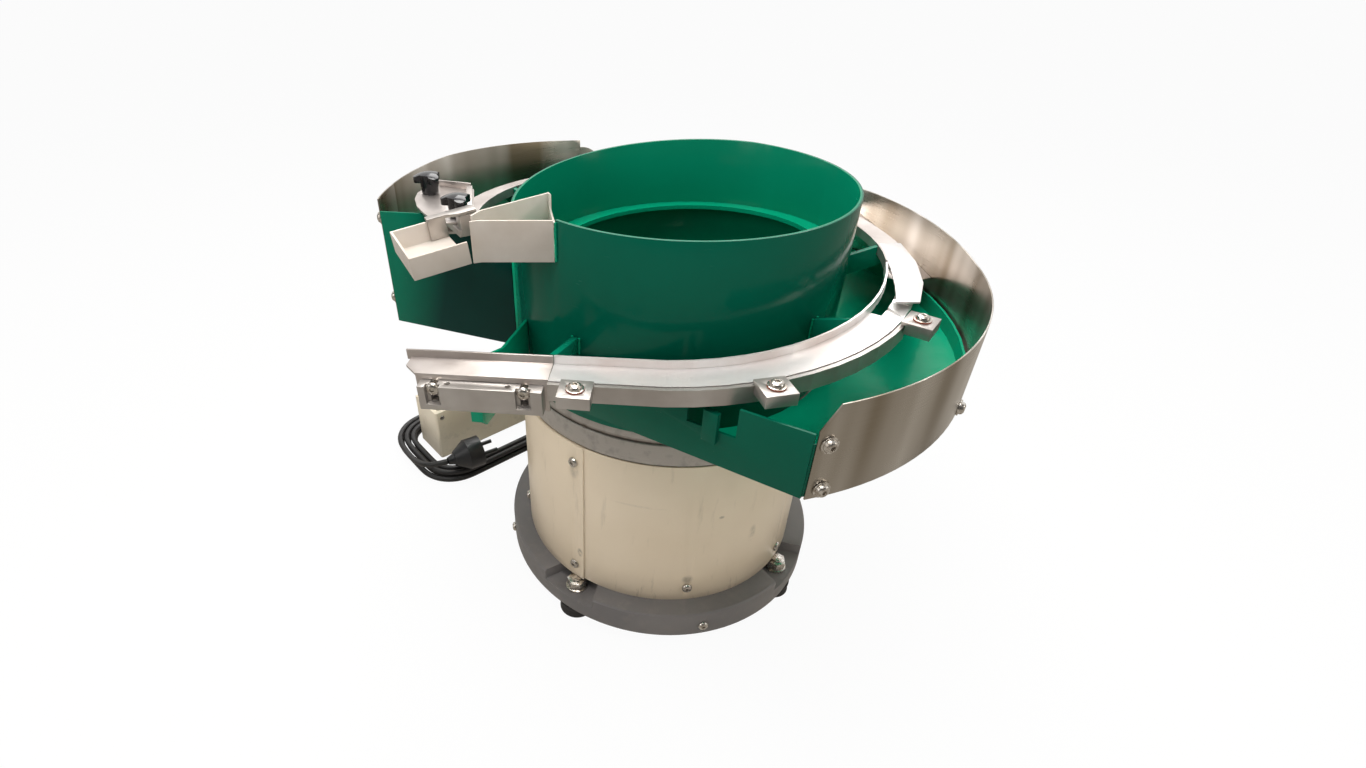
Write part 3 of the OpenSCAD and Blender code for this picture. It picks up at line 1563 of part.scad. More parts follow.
module cable_glands() {
    color(black) {
        in_case() {
            translate([ctl_l, mains_gland_y, gland_row_z]) rotate([0, 90, 0]) gland(gland_tip, gland_in, mains_d / 2);
            translate([ctl_l, drive_gland_y, gland_row_z]) rotate([0, 90, 0]) gland(18, gland_in, drive_d / 2);
        }
        at_az(gland_az, gland_flat, gland_z) rotate([0, 90, 0]) gland(40, 18, drive_d / 2);
    }
}

// Mains cord: lead, coil round the foot of the case, and tail to the plug
function coil_height(a) = coil_low + coil_climb * clamp01((a - coil_turn) / (coil_back - coil_turn));
function coil_radius(a) = a < coil_turn
    ? mix(coil_r_out, coil_r_in, (a - coil_start) / (coil_turn - coil_start))
    : a < coil_back ? coil_r_in : mix(coil_r_in, coil_r_out, (a - coil_back) / (coil_end - coil_back));
function coil_corner(a) = let (q = floor((a % 360) / 90))
    [coil_x[(q == 0 || q == 3) ? 1 : 0], coil_y[(q == 0 || q == 1) ? 1 : 0]];
function coil_point(a) = let (c = coil_corner(a), r = coil_radius(a))
    [c[0] + r * cos(a), c[1] + r * sin(a), coil_height(a)];

// Five places in each quarter turn, so that a run lies straight between two quarters
coil_angles = [for (q = [0 : ceil(coil_end / 90) - 1]) for (s = [1, 19, 37, 55, 72, 89])
    let (a = q * 90 + s) if (a > coil_start && a < coil_end - 1) a];
coil_points = concat([coil_point(coil_start)], [for (a = coil_angles) coil_point(a)],
    [[coil_x[0] - coil_r_out, coil_y[1], coil_low + coil_climb]]);
coil_gap_least = min([for (i = [0 : len(coil_points) - 1]) for (j = [i + 12 : 1 : len(coil_points) - 1])
    norm(coil_points[i] - coil_points[j])]) - mains_d;
echo(least_gap_between_loops = coil_gap_least);

module mains_lead() {
    color(black) in_case() tube(concat(lead_points, [coil_point(coil_start)]), mains_d, cord_sides);
}

module mains_coil() {
    color(black) in_case() tube(coil_points, mains_d, coil_sides);
}

module mains_tail() {
    color(black) in_case() tube(tail_points, mains_d, cord_sides);
}

module mains_plug() {
    in_case()
        translate(plug_at)
            rotate([0, 0, plug_turn])
                rotate([0, 90, 0]) {
                    color(black) {
                        translate([0, 0, -plug_l / 2]) cylinder(r1 = plug_back_r, r2 = plug_r, h = plug_l * 0.45);
                        translate([0, 0, -plug_l * 0.05]) cylinder(r = plug_face_r, h = plug_l * 0.55);
                        translate([0, 0, -plug_l / 2 - plug_relief])
                            cylinder(r1 = mains_d / 2 + 1, r2 = plug_back_r * 0.8, h = plug_relief);
                    }
                    color("gold")
                        for (s = [-1, 1])
                            translate([0, s * pin_gap, plug_l / 2]) cylinder(r = pin_r, h = pin_l);
                }
}

module drive_cable() {
    color(black) tube(drive_points, drive_d, cord_sides);
}

base_disc();
rubber_feet();
foot_studs();
lower_spring_blocks();
lower_spring_clamps();
lower_spring_bolts();
leaf_springs();
magnet_bracket();
magnet_core();
magnet_coil();
drum_cover();
seam_strap();
drum_screws();
cable_glands();
top_plate();
upper_spring_blocks();
upper_spring_clamps();
upper_spring_bolts();
armature();
bowl_mount_disc();
centre_bolt();
bowl_floor();
bowl_wall();
spiral_track();
return_pan();
pan_front_panel();
left_end_plate();
right_guard();
left_guard();
guard_screws();
upper_track();
junction_plate();
deflector_sheet();
lower_track();
outer_rail();
outlet_track();
outlet_side_plate();
outlet_screws();
track_clamps();
clamp_screws();
track_arms();
outlet_bracket();
exit_chute();
catch_tray();
tray_bracket();
selector_base();
selector_plate();
clamp_knob_inner();
clamp_knob_outer();
controller_case();
controller_lid();
controller_screws();
fuse_holder();
control_knob();
power_rocker();
mains_lead();
mains_coil();
mains_tail();
mains_plug();
drive_cable();
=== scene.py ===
"""Dresses the vibratory bowl feeder: its finishes, cords, welds, camera, stage and light."""
import json
import math

import bpy
from mathutils import Matrix, Vector


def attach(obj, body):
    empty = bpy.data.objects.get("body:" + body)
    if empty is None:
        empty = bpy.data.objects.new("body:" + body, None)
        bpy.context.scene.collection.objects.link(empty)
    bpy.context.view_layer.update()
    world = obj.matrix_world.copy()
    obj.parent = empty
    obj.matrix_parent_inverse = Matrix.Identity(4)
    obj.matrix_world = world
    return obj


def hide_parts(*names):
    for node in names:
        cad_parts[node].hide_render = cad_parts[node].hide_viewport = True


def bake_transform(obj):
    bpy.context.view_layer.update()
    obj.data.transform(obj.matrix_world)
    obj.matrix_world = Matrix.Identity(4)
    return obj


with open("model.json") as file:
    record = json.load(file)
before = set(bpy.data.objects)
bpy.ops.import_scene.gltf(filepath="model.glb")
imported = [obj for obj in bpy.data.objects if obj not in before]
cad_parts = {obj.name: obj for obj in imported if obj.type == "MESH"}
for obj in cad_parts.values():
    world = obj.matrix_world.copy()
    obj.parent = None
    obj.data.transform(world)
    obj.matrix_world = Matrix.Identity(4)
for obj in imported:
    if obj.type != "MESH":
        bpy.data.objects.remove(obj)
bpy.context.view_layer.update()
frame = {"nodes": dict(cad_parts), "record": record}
NODES = frame["nodes"]
RECORD = frame["record"]
BODY_OF = {node: body for body, names in RECORD["behaviour"]["bodies"].items() for node in names}
SLOT_OF = {part["node"]: part["material_slot"] for part in RECORD["subparts"]}
MM = 0.001

# Camera, fitted to the photo: metres, radians, and pixels of the photo
CAMERA_AT = Vector((0.0, -0.55207, 0.55984))
CAMERA_YAW = -0.148935
CAMERA_PITCH = 0.588505
CAMERA_ROLL = -0.006328
PHOTO_WIDTH = 1366
FOCAL_PIXELS = 662.05
AXIS_PIXELS_LEFT = 100.18
SENSOR_WIDTH = 36.0
NEAREST_SEEN = 0.01


def add_camera():
    forward = Vector((math.sin(CAMERA_YAW) * math.cos(CAMERA_PITCH),
                      math.cos(CAMERA_YAW) * math.cos(CAMERA_PITCH), -math.sin(CAMERA_PITCH)))
    level = Vector((math.cos(CAMERA_YAW), -math.sin(CAMERA_YAW), 0.0))
    upright = level.cross(forward)
    right = level * math.cos(CAMERA_ROLL) + upright * math.sin(CAMERA_ROLL)
    up = upright * math.cos(CAMERA_ROLL) - level * math.sin(CAMERA_ROLL)
    camera = bpy.data.cameras.new("camera")
    camera.sensor_width = SENSOR_WIDTH
    camera.lens = FOCAL_PIXELS / PHOTO_WIDTH * SENSOR_WIDTH
    camera.shift_x = AXIS_PIXELS_LEFT / PHOTO_WIDTH
    camera.clip_start = NEAREST_SEEN
    holder = bpy.data.objects.new("camera", camera)
    turned = Matrix((right, up, -forward)).transposed().to_4x4()
    holder.matrix_world = Matrix.Translation(CAMERA_AT) @ turned
    bpy.context.scene.collection.objects.link(holder)
    bpy.context.scene.camera = holder


add_camera()

# Cords. The places of the mains cord are in millimetres in the controller's own frame, and those
# of the drive cable in the row frame.
CASE_CORNER = Vector((-281.0, 79.5, 0.0))
CASE_YAW = math.radians(47)
MAINS_D = 7.0
DRIVE_D = 6.0
COIL_X = (14.0, 136.0)
COIL_Y = (-12.0, 40.0)
COIL_OUT, COIL_IN = 48.0, 28.0
COIL_LOW, COIL_CLIMB = 3.6, 7.6
# In degrees: the coil winds inwards to COIL_TURN, climbs a layer, and winds outwards from COIL_BACK
COIL_START, COIL_TURN, COIL_BACK, COIL_END = 90, 936, 1116, 1980
QUARTER, COIL_STEP = 90, 8
LEAD_START = (176.1, 12.0, 45.0)
# Each leg of the lead: its bend radius and its turn in degrees, or 0 and its length
LEAD_LEGS = [(0.0, 4.0), (30.5, 126.0), (0.0, 18.8), (30.0, 54.0), (0.0, 145.0)]
LEAD_STEP, LEAD_LEVEL, LEAD_DROP = 4.0, 2.0, 135.0
TAIL = [(-35.5, 25, 12.2), (-37, 8, 15.2), (-37.6, -6, 19.6), (-37.3, -19.5, 24.2),
        (-35.6, -29.3, 27.6), (-30.8, -38, 30.8), (-23.5, -44.7, 33.2), (-14.5, -48.6, 34.4)]
DRIVE = [(-195.6, 229.7, 45), (-187.5, 238.4, 45), (-178.9, 246.9, 45.5), (-168.2, 253.2, 46),
         (-156.2, 254.4, 45.5), (-144.1, 251.3, 43), (-131.8, 245.3, 39.5), (-120.2, 237.2, 36),
         (-110, 227.7, 32), (-100.8, 217, 30.5), (-93.3, 206, 29.5), (-89.2, 191.2, 29.5),
         (-83.3, 178.6, 29.5)]
# How the routes become smooth lines: the places from one point of a curve to the next, how far apart
# the mains cord's places are, how often each route is eased, and how round the cords are
CURVE_STEPS = 4
CORD_STEP = 5.0
MAINS_ROUNDS, DRIVE_ROUNDS = 4, 3
CORD_ROUNDNESS = 4


def from_case(point):
    """A place in the controller's frame, in millimetres, to the row frame in metres."""
    turned = Matrix.Rotation(CASE_YAW, 3, "Z") @ Vector(point)
    return (turned + CASE_CORNER) * MM


def coil_point(angle):
    if angle < COIL_TURN:
        radius = COIL_OUT + (COIL_IN - COIL_OUT) * (angle - COIL_START) / (COIL_TURN - COIL_START)
    elif angle < COIL_BACK:
        radius = COIL_IN
    else:
        radius = COIL_IN + (COIL_OUT - COIL_IN) * (angle - COIL_BACK) / (COIL_END - COIL_BACK)
    climb = min(1.0, max(0.0, (angle - COIL_TURN) / (COIL_BACK - COIL_TURN)))
    quarter = int(angle % 360 // QUARTER)
    x = COIL_X[1] if quarter in (0, 3) else COIL_X[0]
    y = COIL_Y[1] if quarter in (0, 1) else COIL_Y[0]
    turn = math.radians(angle)
    return (x + radius * math.cos(turn), y + radius * math.sin(turn), COIL_LOW + COIL_CLIMB * climb)


def coil_points():
    """The coil's places: an arc at each corner, which the cord joins straight along the case."""
    angles = [corner + turn for corner in range(0, COIL_END, QUARTER)
              for turn in range(1, QUARTER, COIL_STEP)]
    return [coil_point(a) for a in [COIL_START] + angles if COIL_START <= a < COIL_END - 1]


def lead_points():
    """The mains cord from its gland: wide turns that come down to the floor and join the coil."""
    x, y, z = LEAD_START
    heading = travel = 0.0
    points = [LEAD_START]
    for radius, amount in LEAD_LEGS:
        length = radius * math.radians(amount) if radius else amount
        count = math.ceil(length / LEAD_STEP)
        step = length / count
        turn = step / radius if radius else 0.0
        for _ in range(count):
            x += step * math.cos(heading + turn / 2)
            y += step * math.sin(heading + turn / 2)
            heading += turn
            travel += step
            fall = min(1.0, max(0.0, (travel - LEAD_LEVEL) / LEAD_DROP))
            points.append((x, y, z - (z - COIL_LOW) * fall * fall * (3 - 2 * fall)))
    return points


def evenly(points, step):
    """The same line with its points a step apart."""
    points = [Vector(p) for p in points]
    route, place = [points[0]], step
    for a, b in zip(points, points[1:]):
        length = (b - a).length
        while place < length:
            route.append(a.lerp(b, place / length))
            place += step
        place -= length
    if (route[-1] - points[-1]).length < step / 2:
        route.pop()
    return route + [points[-1]]


def eased(points, rounds):
    """The points, each moved a little towards the middle of its neighbours, the ends kept."""
    points = [Vector(p) for p in points]
    for _ in range(rounds):
        inner = [(a + b * 2 + c) / 4 for a, b, c in zip(points, points[1:], points[2:])]
        points = [points[0]] + inner + [points[-1]]
    return points


def smooth_route(points):
    """A curve through the points, with CURVE_STEPS places from each to the next."""
    points = [Vector(p) for p in points]
    padded = [points[0] * 2 - points[1]] + points + [points[-1] * 2 - points[-2]]
    route = []
    for a, b, c, d in zip(padded, padded[1:], padded[2:], padded[3:]):
        for step in range(CURVE_STEPS):
            t = step / CURVE_STEPS
            route.append(0.5 * ((2 * b) + (c - a) * t + (2 * a - 5 * b + 4 * c - d) * t * t
                                + (3 * b - a - 3 * c + d) * t ** 3))
    return route + [points[-1]]


def select_only(piece):
    bpy.ops.object.select_all(action="DESELECT")
    bpy.context.view_layer.objects.active = piece
    piece.select_set(True)


# The two waves of a tube's ripple: how fast each runs along the places, and its share
RIPPLE_WAVES = ((2.4, 1.0), (5.1, 0.5))
TUBE_SMOOTH_ANGLE = 50


def tube(name, points, diameter, roundness, ripple=0.0):
    """A round tube along the points, in metres. A ripple swells and thins it along its length."""
    curve = bpy.data.curves.new(name, "CURVE")
    curve.dimensions = "3D"
    curve.bevel_depth = diameter / 2
    curve.bevel_resolution = roundness
    curve.use_fill_caps = True
    spline = curve.splines.new("POLY")
    spline.points.add(len(points) - 1)
    for k, (place, point) in enumerate(zip(spline.points, points)):
        place.co = (*point, 1.0)
        wave = sum(share * math.sin(k * pace) for pace, share in RIPPLE_WAVES)
        place.radius = 1.0 + ripple * wave
    holder = bpy.data.objects.new(name, curve)
    bpy.context.scene.collection.objects.link(holder)
    select_only(holder)
    bpy.ops.object.convert(target="MESH")
    bpy.ops.object.shade_smooth_by_angle(angle=math.radians(TUBE_SMOOTH_ANGLE))
    return bpy.context.object


def add_cords():
    coil = coil_points()
    tail_foot = (COIL_X[0] - COIL_OUT, COIL_Y[1], COIL_LOW + COIL_CLIMB)
    tail = smooth_route([coil[-1], tail_foot] + TAIL)[CURVE_STEPS:]
    places = [from_case(point) for point in lead_points() + coil + tail]
    mains_route = eased(evenly(places, CORD_STEP * MM), MAINS_ROUNDS)
    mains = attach(tube("mains_cord", mains_route, MAINS_D * MM, CORD_ROUNDNESS), "drive_base")
    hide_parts("mains_lead", "mains_coil", "mains_tail")
    drive_route = eased([point * MM for point in smooth_route(DRIVE)], DRIVE_ROUNDS)
    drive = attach(tube("drive_cord", drive_route, DRIVE_D * MM, CORD_ROUNDNESS), "drive_base")
    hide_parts("drive_cable")
    return mains, drive, mains_route, drive_route


mains_cord, drive_cord, mains_route, drive_route = add_cords()


# Shader maths
class Value:
    """A shader socket that adds its Math nodes when it is used in an expression."""

    def __init__(self, nodes, socket):
        self.nodes = nodes
        self.socket = socket

    def _math(self, operation, *values):
        return self.nodes.add("ShaderNodeMath", {"operation": operation}, list(values))

    def __add__(self, other):
        return self._math("ADD", self, other)

    def __sub__(self, other):
        return self._math("SUBTRACT", self, other)

    def __rsub__(self, other):
        return self._math("SUBTRACT", other, self)

    def __mul__(self, other):
        return self._math("MULTIPLY", self, other)

    def __truediv__(self, other):
        return self._math("DIVIDE", self, other)

    def __pow__(self, other):
        return self._math("POWER", self, other)

    __radd__ = __add__
    __rmul__ = __mul__

    def clipped(self):
        return self._math("MAXIMUM", self._math("MINIMUM", self, 1.0), 0.0)

    def absolute(self):
        return self._math("ABSOLUTE", self)

    def band(self, low, high):
        """0 below low, 1 above high, and a straight rise between."""
        return ((self - low) / (high - low)).clipped()


class Nodes:
    """A node tree, with short ways to add what varies over a surface."""

    def __init__(self, tree):
        self.tree = tree

    def feed(self, node, socket, value):
        """Sets a socket of a node, or links it."""
        if isinstance(value, Value):
            self.tree.links.new(value.socket, node.inputs[socket])
        else:
            node.inputs[socket].default_value = value

    def add(self, kind, settings=None, inputs=None, output=0):
        """Adds a node: its settings first, then the values or links of its sockets."""
        node = self.tree.nodes.new(kind)
        for key, value in (settings or {}).items():
            if key == "stops":
                self._set_stops(node.color_ramp.elements, value)
            else:
                setattr(node, key, value)
        for key, value in inputs.items() if isinstance(inputs, dict) else enumerate(inputs or []):
            self.feed(node, key, value)
        return Value(self, node.outputs[output])

    @staticmethod
    def _set_stops(elements, stops):
        for k, (spot, colour) in enumerate(stops):
            stop = elements[k] if k < len(elements) else elements.new(spot)
            stop.position = spot
            stop.color = colour

    def place(self):
        return self.add("ShaderNodeTexCoord", output="Object")

    def parts(self, vector=None):
        """The three numbers of a vector, of the place on the object when none is given."""
        split = self.add("ShaderNodeSeparateXYZ", inputs=[vector or self.place()])
        return [Value(self, split.socket.node.outputs[k]) for k in range(3)]

    def vector(self, x, y, z):
        return self.add("ShaderNodeCombineXYZ", inputs=[x, y, z])

    def noise(self, scale, detail=3.0, vector=None, roughness=0.5):
        sockets = {"Vector": vector or self.place(), "Scale": scale, "Detail": detail,
                   "Roughness": roughness}
        return self.add("ShaderNodeTexNoise", inputs=sockets)

    def mixed(self, factor, first, second):
        """A colour between two colours."""
        first = first if isinstance(first, Value) else (*first, 1.0)
        second = second if isinstance(second, Value) else (*second, 1.0)
        sockets = {0: factor, 6: first, 7: second}
        return self.add("ShaderNodeMix", {"data_type": "RGBA"}, sockets, output=2)

    def turn(self, x, y):
        """The turn round Z, from minus to plus half a turn, in radians."""
        return self.add("ShaderNodeMath", {"operation": "ARCTAN2"}, [y, x])

    def round_place(self, along, across):
        """A place in cylinder terms: its turn round Z, its height and its distance from Z."""
        x, y, z = self.parts()
        out = (x * x + y * y) ** 0.5
        return self.vector(self.turn(x, y) * along, z * across, out * across)

    def ray(self, kind):
        """1 for rays of this kind, and 0 for others."""
        return self.add("ShaderNodeLightPath", output=f"Is {kind} Ray")

    def blended(self, factor, first, second):
        """A shader between two shaders."""
        return self.add("ShaderNodeMixShader", inputs=[factor, first, second])


class Finish(Nodes):
    """A material with one Principled shader."""

    def __init__(self, name, colour, roughness, metallic=0.0, **constants):
        self.material = bpy.data.materials.new(name)
        self.material.use_nodes = True
        super().__init__(self.material.node_tree)
        self.shader = self.tree.nodes["Principled BSDF"]
        self.set("Base Color", (*colour, 1.0))
        self.set("Roughness", roughness)
        self.set("Metallic", metallic)
        for socket, value in constants.items():
            self.set(socket.replace("_", " "), value)

    def set(self, socket, value):
        self.feed(self.shader, socket, value)

    def bump(self, height, strength, distance):
        sockets = {"Strength": strength, "Distance": distance, "Height": height}
        self.set("Normal", self.add("ShaderNodeBump", inputs=sockets))


def srgb(r, g, b):
    """A colour as a picture shows it, from 0 to 255, as the light values that shaders take."""
    return tuple(c / 255 / 12.92 if c <= 10 else ((c / 255 + 0.055) / 1.055) ** 2.4
                 for c in (r, g, b))


# Finishes
def green_enamel(name, paint, painted_shade_paint=None, mask=None):
    """Glossy enamel. The mask says where the paint is the shaded one, a darker tone of the same green
    that is painted shade.
    """
    f = Finish(name, paint, 0.2, Coat_Weight=0.05, Coat_Roughness=0.04, Specular_IOR_Level=0.13)
    broad = f.noise(9.0, 4.0).band(0.35, 0.7)
    colour = f.mixed(broad, tuple(c * 0.92 for c in paint), tuple(c * 1.06 for c in paint))
    # Painted shade: where the mask is 1, the paint becomes the darker shaded tone
    if mask:
        painted_shade_tone = f.mixed(broad, tuple(c * 0.9 for c in painted_shade_paint), tuple(c * 1.08 for c in painted_shade_paint))
        colour = f.mixed(mask(f), colour, painted_shade_tone)
    f.set("Base Color", colour)
    handled = f.noise(38.0, 6.0, roughness=0.65).band(0.5, 0.72)
    scratch = f.noise(14.0, 5.0, f.round_place(1.2, 60.0)).band(0.62, 0.7)
    f.set("Roughness", 0.14 + handled * 0.12 + scratch * 0.08)
    f.bump(f.noise(130.0, 2.0) * 0.7 + f.noise(22.0, 2.0), 0.14, 0.0012)
    return f.material


# Where two masks of painted shade change, in metres: across the bowl's wall, outside which the bowl
# is painted darker, and across a line that leans over the left end plate, right of which the plate is
# painted darker
WALL_MASK = (0.1398, 0.1402)
PLATE_MASK = (-0.236, -0.19)
PLATE_MASK_HEIGHT, PLATE_MASK_LEAN = 0.33, 0.25


def painted_shade_outside_bowl(f):
    x, y, _ = f.parts()
    return ((x * x + y * y) ** 0.5).band(*WALL_MASK)


def painted_shade_right_of_plate(f):
    x, _, z = f.parts()
    return (x - (z - PLATE_MASK_HEIGHT) * PLATE_MASK_LEAN).band(*PLATE_MASK)


def guard_steel():
    f = Finish("guard_steel", (0.55, 0.54, 0.52), 0.3, 1.0)
    grain = f.noise(1.0, 3.0, f.round_place(6.0, 1000.0), 0.6)
    # Painted reflection: soft streaks round the guard, from warm brown to pale grey, stand for the
    # room mirrored in the steel
    painted_reflection_streak = f.noise(1.0, 2.0, f.round_place(4.2, 1.5), 0.5).band(0.4, 0.62)
    smear = f.noise(11.0, 4.0).band(0.4, 0.75)
    shade = f.mixed(painted_reflection_streak, srgb(126, 112, 90), srgb(222, 217, 210))
    f.set("Base Color", f.mixed(grain * 0.14, shade, srgb(222, 217, 210)))
    f.set("Roughness", 0.2 + grain * 0.16 + smear * 0.08)
    f.bump(grain, 0.06, 0.0002)
    return f.material


def polished_steel():
    f = Finish("polished_steel", (0.7, 0.69, 0.67), 0.2, 0.74)
    grain = f.noise(1.0, 3.0, f.round_place(4.0, 900.0), 0.6)
    smear = f.noise(26.0, 5.0).band(0.38, 0.72)
    f.set("Base Color", f.mixed(smear, srgb(246, 243, 241), srgb(226, 217, 213)))
    f.set("Roughness", 0.26 + smear * 0.12 + grain * 0.1)
    f.bump(grain + smear * 0.4, 0.08, 0.0002)
    return f.material


def blasted_steel():
    f = Finish("blasted_steel", srgb(196, 186, 176), 0.46, 0.2)
    fine = f.noise(900.0, 2.0)
    broad = f.noise(24.0, 4.0).band(0.35, 0.7)
    f.set("Base Color", f.mixed(broad, srgb(216, 207, 197), srgb(197, 185, 172)))
    f.set("Roughness", 0.4 + broad * 0.14)
    f.bump(fine, 0.1, 0.0002)
    return f.material


def machined_steel(name, light, dark):
    f = Finish(name, light, 0.34, 0.78)
    x, y, z = f.parts()
    grain = f.noise(1.0, 4.0, f.vector(x * 60.0, y * 900.0, z * 900.0), 0.6)
    broad = f.noise(30.0, 3.0).band(0.35, 0.7)
    f.set("Base Color", f.mixed(broad, light, dark))
    f.set("Roughness", 0.26 + grain * 0.16)
    f.bump(grain, 0.1, 0.0002)
    return f.material


GROOVE_HEIGHT = 0.2305


def ring_steel():
    f = Finish("ring_steel", (0.3, 0.28, 0.26), 0.42, 0.85)
    turned = f.noise(1.0, 3.0, f.round_place(2.0, 1800.0), 0.6)
    dirt = f.noise(34.0, 5.0, f.round_place(0.5, 3.0), 0.6).band(0.5, 0.74)
    z = f.parts()[2]
    groove = 1.0 - (z - GROOVE_HEIGHT).absolute().band(0.0008, 0.003)
    steel = f.mixed(turned, srgb(168, 162, 155), srgb(190, 184, 177))
    f.set("Base Color", f.mixed((dirt * 0.4 + groove * 0.6).clipped(), steel, srgb(98, 84, 72)))
    f.set("Metallic", 0.6 - dirt * 0.3)
    f.set("Roughness", 0.36 + dirt * 0.2 + turned * 0.08)
    f.bump(turned + dirt * 0.3, 0.08, 0.0003)
    return f.material


def screw_steel():
    f = Finish("screw_steel", (0.55, 0.54, 0.52), 0.26, 1.0)
    mark = f.noise(400.0, 3.0).band(0.4, 0.65)
    f.set("Base Color", f.mixed(mark, srgb(224, 220, 214), srgb(176, 166, 154)))
    f.set("Roughness", 0.2 + mark * 0.16)
    return f.material


# Scuffs on the drum: turn in degrees, height, half width, half height in metres, and how dark
SCUFFS = [(-51, 0.112, 0.005, 0.012, 0.3), (-76, 0.071, 0.006, 0.007, 0.5),
          (-118.6, 0.079, 0.0035, 0.006, 0.75), (-66, 0.146, 0.003, 0.002, 0.5),
          (-121, 0.178, 0.006, 0.01, 0.3), (-96, 0.16, 0.03, 0.0015, 0.12),
          (30, 0.12, 0.02, 0.004, 0.3), (120, 0.09, 0.004, 0.02, 0.35),
          (170, 0.15, 0.02, 0.003, 0.3)]
DRUM_R = 0.14


def cream_paint():
    f = Finish("cream_paint", srgb(214, 201, 176), 0.34, Coat_Weight=0.12, Coat_Roughness=0.2)
    broad = f.noise(7.0, 4.0).band(0.3, 0.75)
    paint = f.mixed(broad, srgb(230, 212, 186), srgb(217, 197, 169))
    around = f.round_place(1.0, 1.0)
    grime = f.noise(16.0, 6.0, around, 0.65).band(0.6, 0.78)
    x, y, z = f.parts()
    foot = 1.0 - z.band(0.046, 0.075)
    turn = f.turn(x, y)
    ragged = f.noise(120.0, 4.0, roughness=0.7)
    scuff = 0.0
    for place, height, wide, tall, depth in SCUFFS:
        aside = (turn - math.radians(place)) * (DRUM_R / wide)
        above = (z - height) / tall
        near = 1.0 - (aside * aside + above * above).band(0.15, 1.0)
        scuff = near * (ragged.band(0.38, 0.6) * depth) + scuff
    # Grime patches, heavier near the foot, and a plain darkening towards the bottom of the drum
    grime_and_low_darkening = (grime * 0.28 + foot * grime * 0.7 + foot * 0.14).clipped()
    grimed_and_darkened = f.mixed(grime_and_low_darkening, paint, srgb(128, 112, 92))
    f.set("Base Color", f.mixed(scuff.clipped(), grimed_and_darkened, srgb(78, 72, 62)))
    f.set("Roughness", 0.3 + grime * 0.2 + scuff * 0.2)
    f.bump(f.noise(160.0, 2.0), 0.05, 0.0006)
    return f.material


def cream_case():
    f = Finish("cream_case", srgb(214, 203, 180), 0.4)
    broad = f.noise(14.0, 4.0).band(0.3, 0.75)
    grime = f.noise(46.0, 6.0, roughness=0.7).band(0.56, 0.76)
    paint = f.mixed(broad, srgb(232, 220, 198), srgb(218, 203, 178))
    f.set("Base Color", f.mixed(grime * 0.4, paint, srgb(136, 120, 98)))
    f.set("Roughness", 0.36 + grime * 0.2)
    f.bump(f.noise(520.0, 2.0), 0.14, 0.0003)
    return f.material


def base_casting():
    f = Finish("base_casting", srgb(86, 82, 80), 0.5)
    broad = f.noise(10.0, 5.0).band(0.35, 0.7)
    dust = f.noise(70.0, 6.0, roughness=0.7).band(0.52, 0.76)
    paint = f.mixed(broad, srgb(106, 102, 101), srgb(124, 118, 114))
    f.set("Base Color", f.mixed(dust * 0.35, paint, srgb(148, 138, 128)))
    f.set("Roughness", 0.42 + dust * 0.2)
    f.bump(f.noise(260.0, 3.0) + broad, 0.12, 0.0008)
    return f.material


def plain_finish(name, colour, roughness, bump_scale, metallic=0.0, spread=0.25, **constants):
    """A moulded or taped surface: a fine grain and a slow change of shade."""
    f = Finish(name, colour, roughness, metallic, **constants)
    broad = f.noise(40.0, 4.0).band(0.3, 0.75)
    lighter = tuple(min(1.0, c * (1 + spread) + 0.003) for c in colour)
    f.set("Base Color", f.mixed(broad, colour, lighter))
    f.set("Roughness", roughness + broad * 0.12)
    f.bump(f.noise(bump_scale, 2.0), 0.1, 0.0002)
    return f.material


FINISHES = {
    "green_enamel": green_enamel("green_enamel", srgb(4, 140, 104)),
    "guard_steel": guard_steel(),
    "polished_steel": polished_steel(),
    "blasted_steel": blasted_steel(),
    "machined_steel": machined_steel("machined_steel", srgb(198, 193, 188), srgb(174, 167, 161)),
    "ring_steel": ring_steel(),
    "screw_steel": screw_steel(),
    "cream_paint": cream_paint(),
    "cream_case": cream_case(),
    "base_casting": base_casting(),
    "spring_laminate": plain_finish("spring_laminate", srgb(196, 170, 92), 0.4, 300.0),
    "coil_tape": plain_finish("coil_tape", srgb(150, 96, 52), 0.5, 500.0),
    "black_plastic": plain_finish("black_plastic", srgb(24, 24, 26), 0.32, 600.0, spread=0.5),
    "gloss_black": plain_finish("gloss_black", srgb(18, 18, 20), 0.14, 500.0, Coat_Weight=0.5),
    "rubber": plain_finish("rubber", srgb(34, 32, 31), 0.6, 500.0, spread=0.6),
    "cord_black": plain_finish("cord_black", srgb(30, 29, 29), 0.42, 500.0, spread=0.6),
}
FIBRE = plain_finish("fibre_washer", srgb(138, 72, 50), 0.5, 700.0)
KNOB_BLACK = plain_finish("knob_black", srgb(16, 16, 20), 0.12, 600.0, spread=0.4, Coat_Weight=0.3)
STREAKED_STEEL = machined_steel("streaked_steel", srgb(212, 204, 199), srgb(184, 174, 168))
# Darker copies of the green enamel, painted shade: the bowl (darkest on its outside), the bowl's
# floor and the pan's front panel, the arms, and the left end plate, which darkens towards its right
BOWL_SHADED_ENAMEL = green_enamel("bowl_painted_shade_enamel", srgb(4, 118, 88), srgb(2, 88, 68), painted_shade_outside_bowl)
PAINTED_SHADE_ENAMEL = green_enamel("painted_shade_enamel", srgb(2, 86, 66))
ARM_SHADED_ENAMEL = green_enamel("arm_painted_shade_enamel", srgb(4, 112, 86))
PLATE_SHADED_ENAMEL = green_enamel("plate_painted_shade_enamel", srgb(4, 106, 80), srgb(5, 50, 44), painted_shade_right_of_plate)
BLANK_PLATE = plain_finish("blank_plate", srgb(226, 224, 218), 0.35, 300.0, spread=0.05)
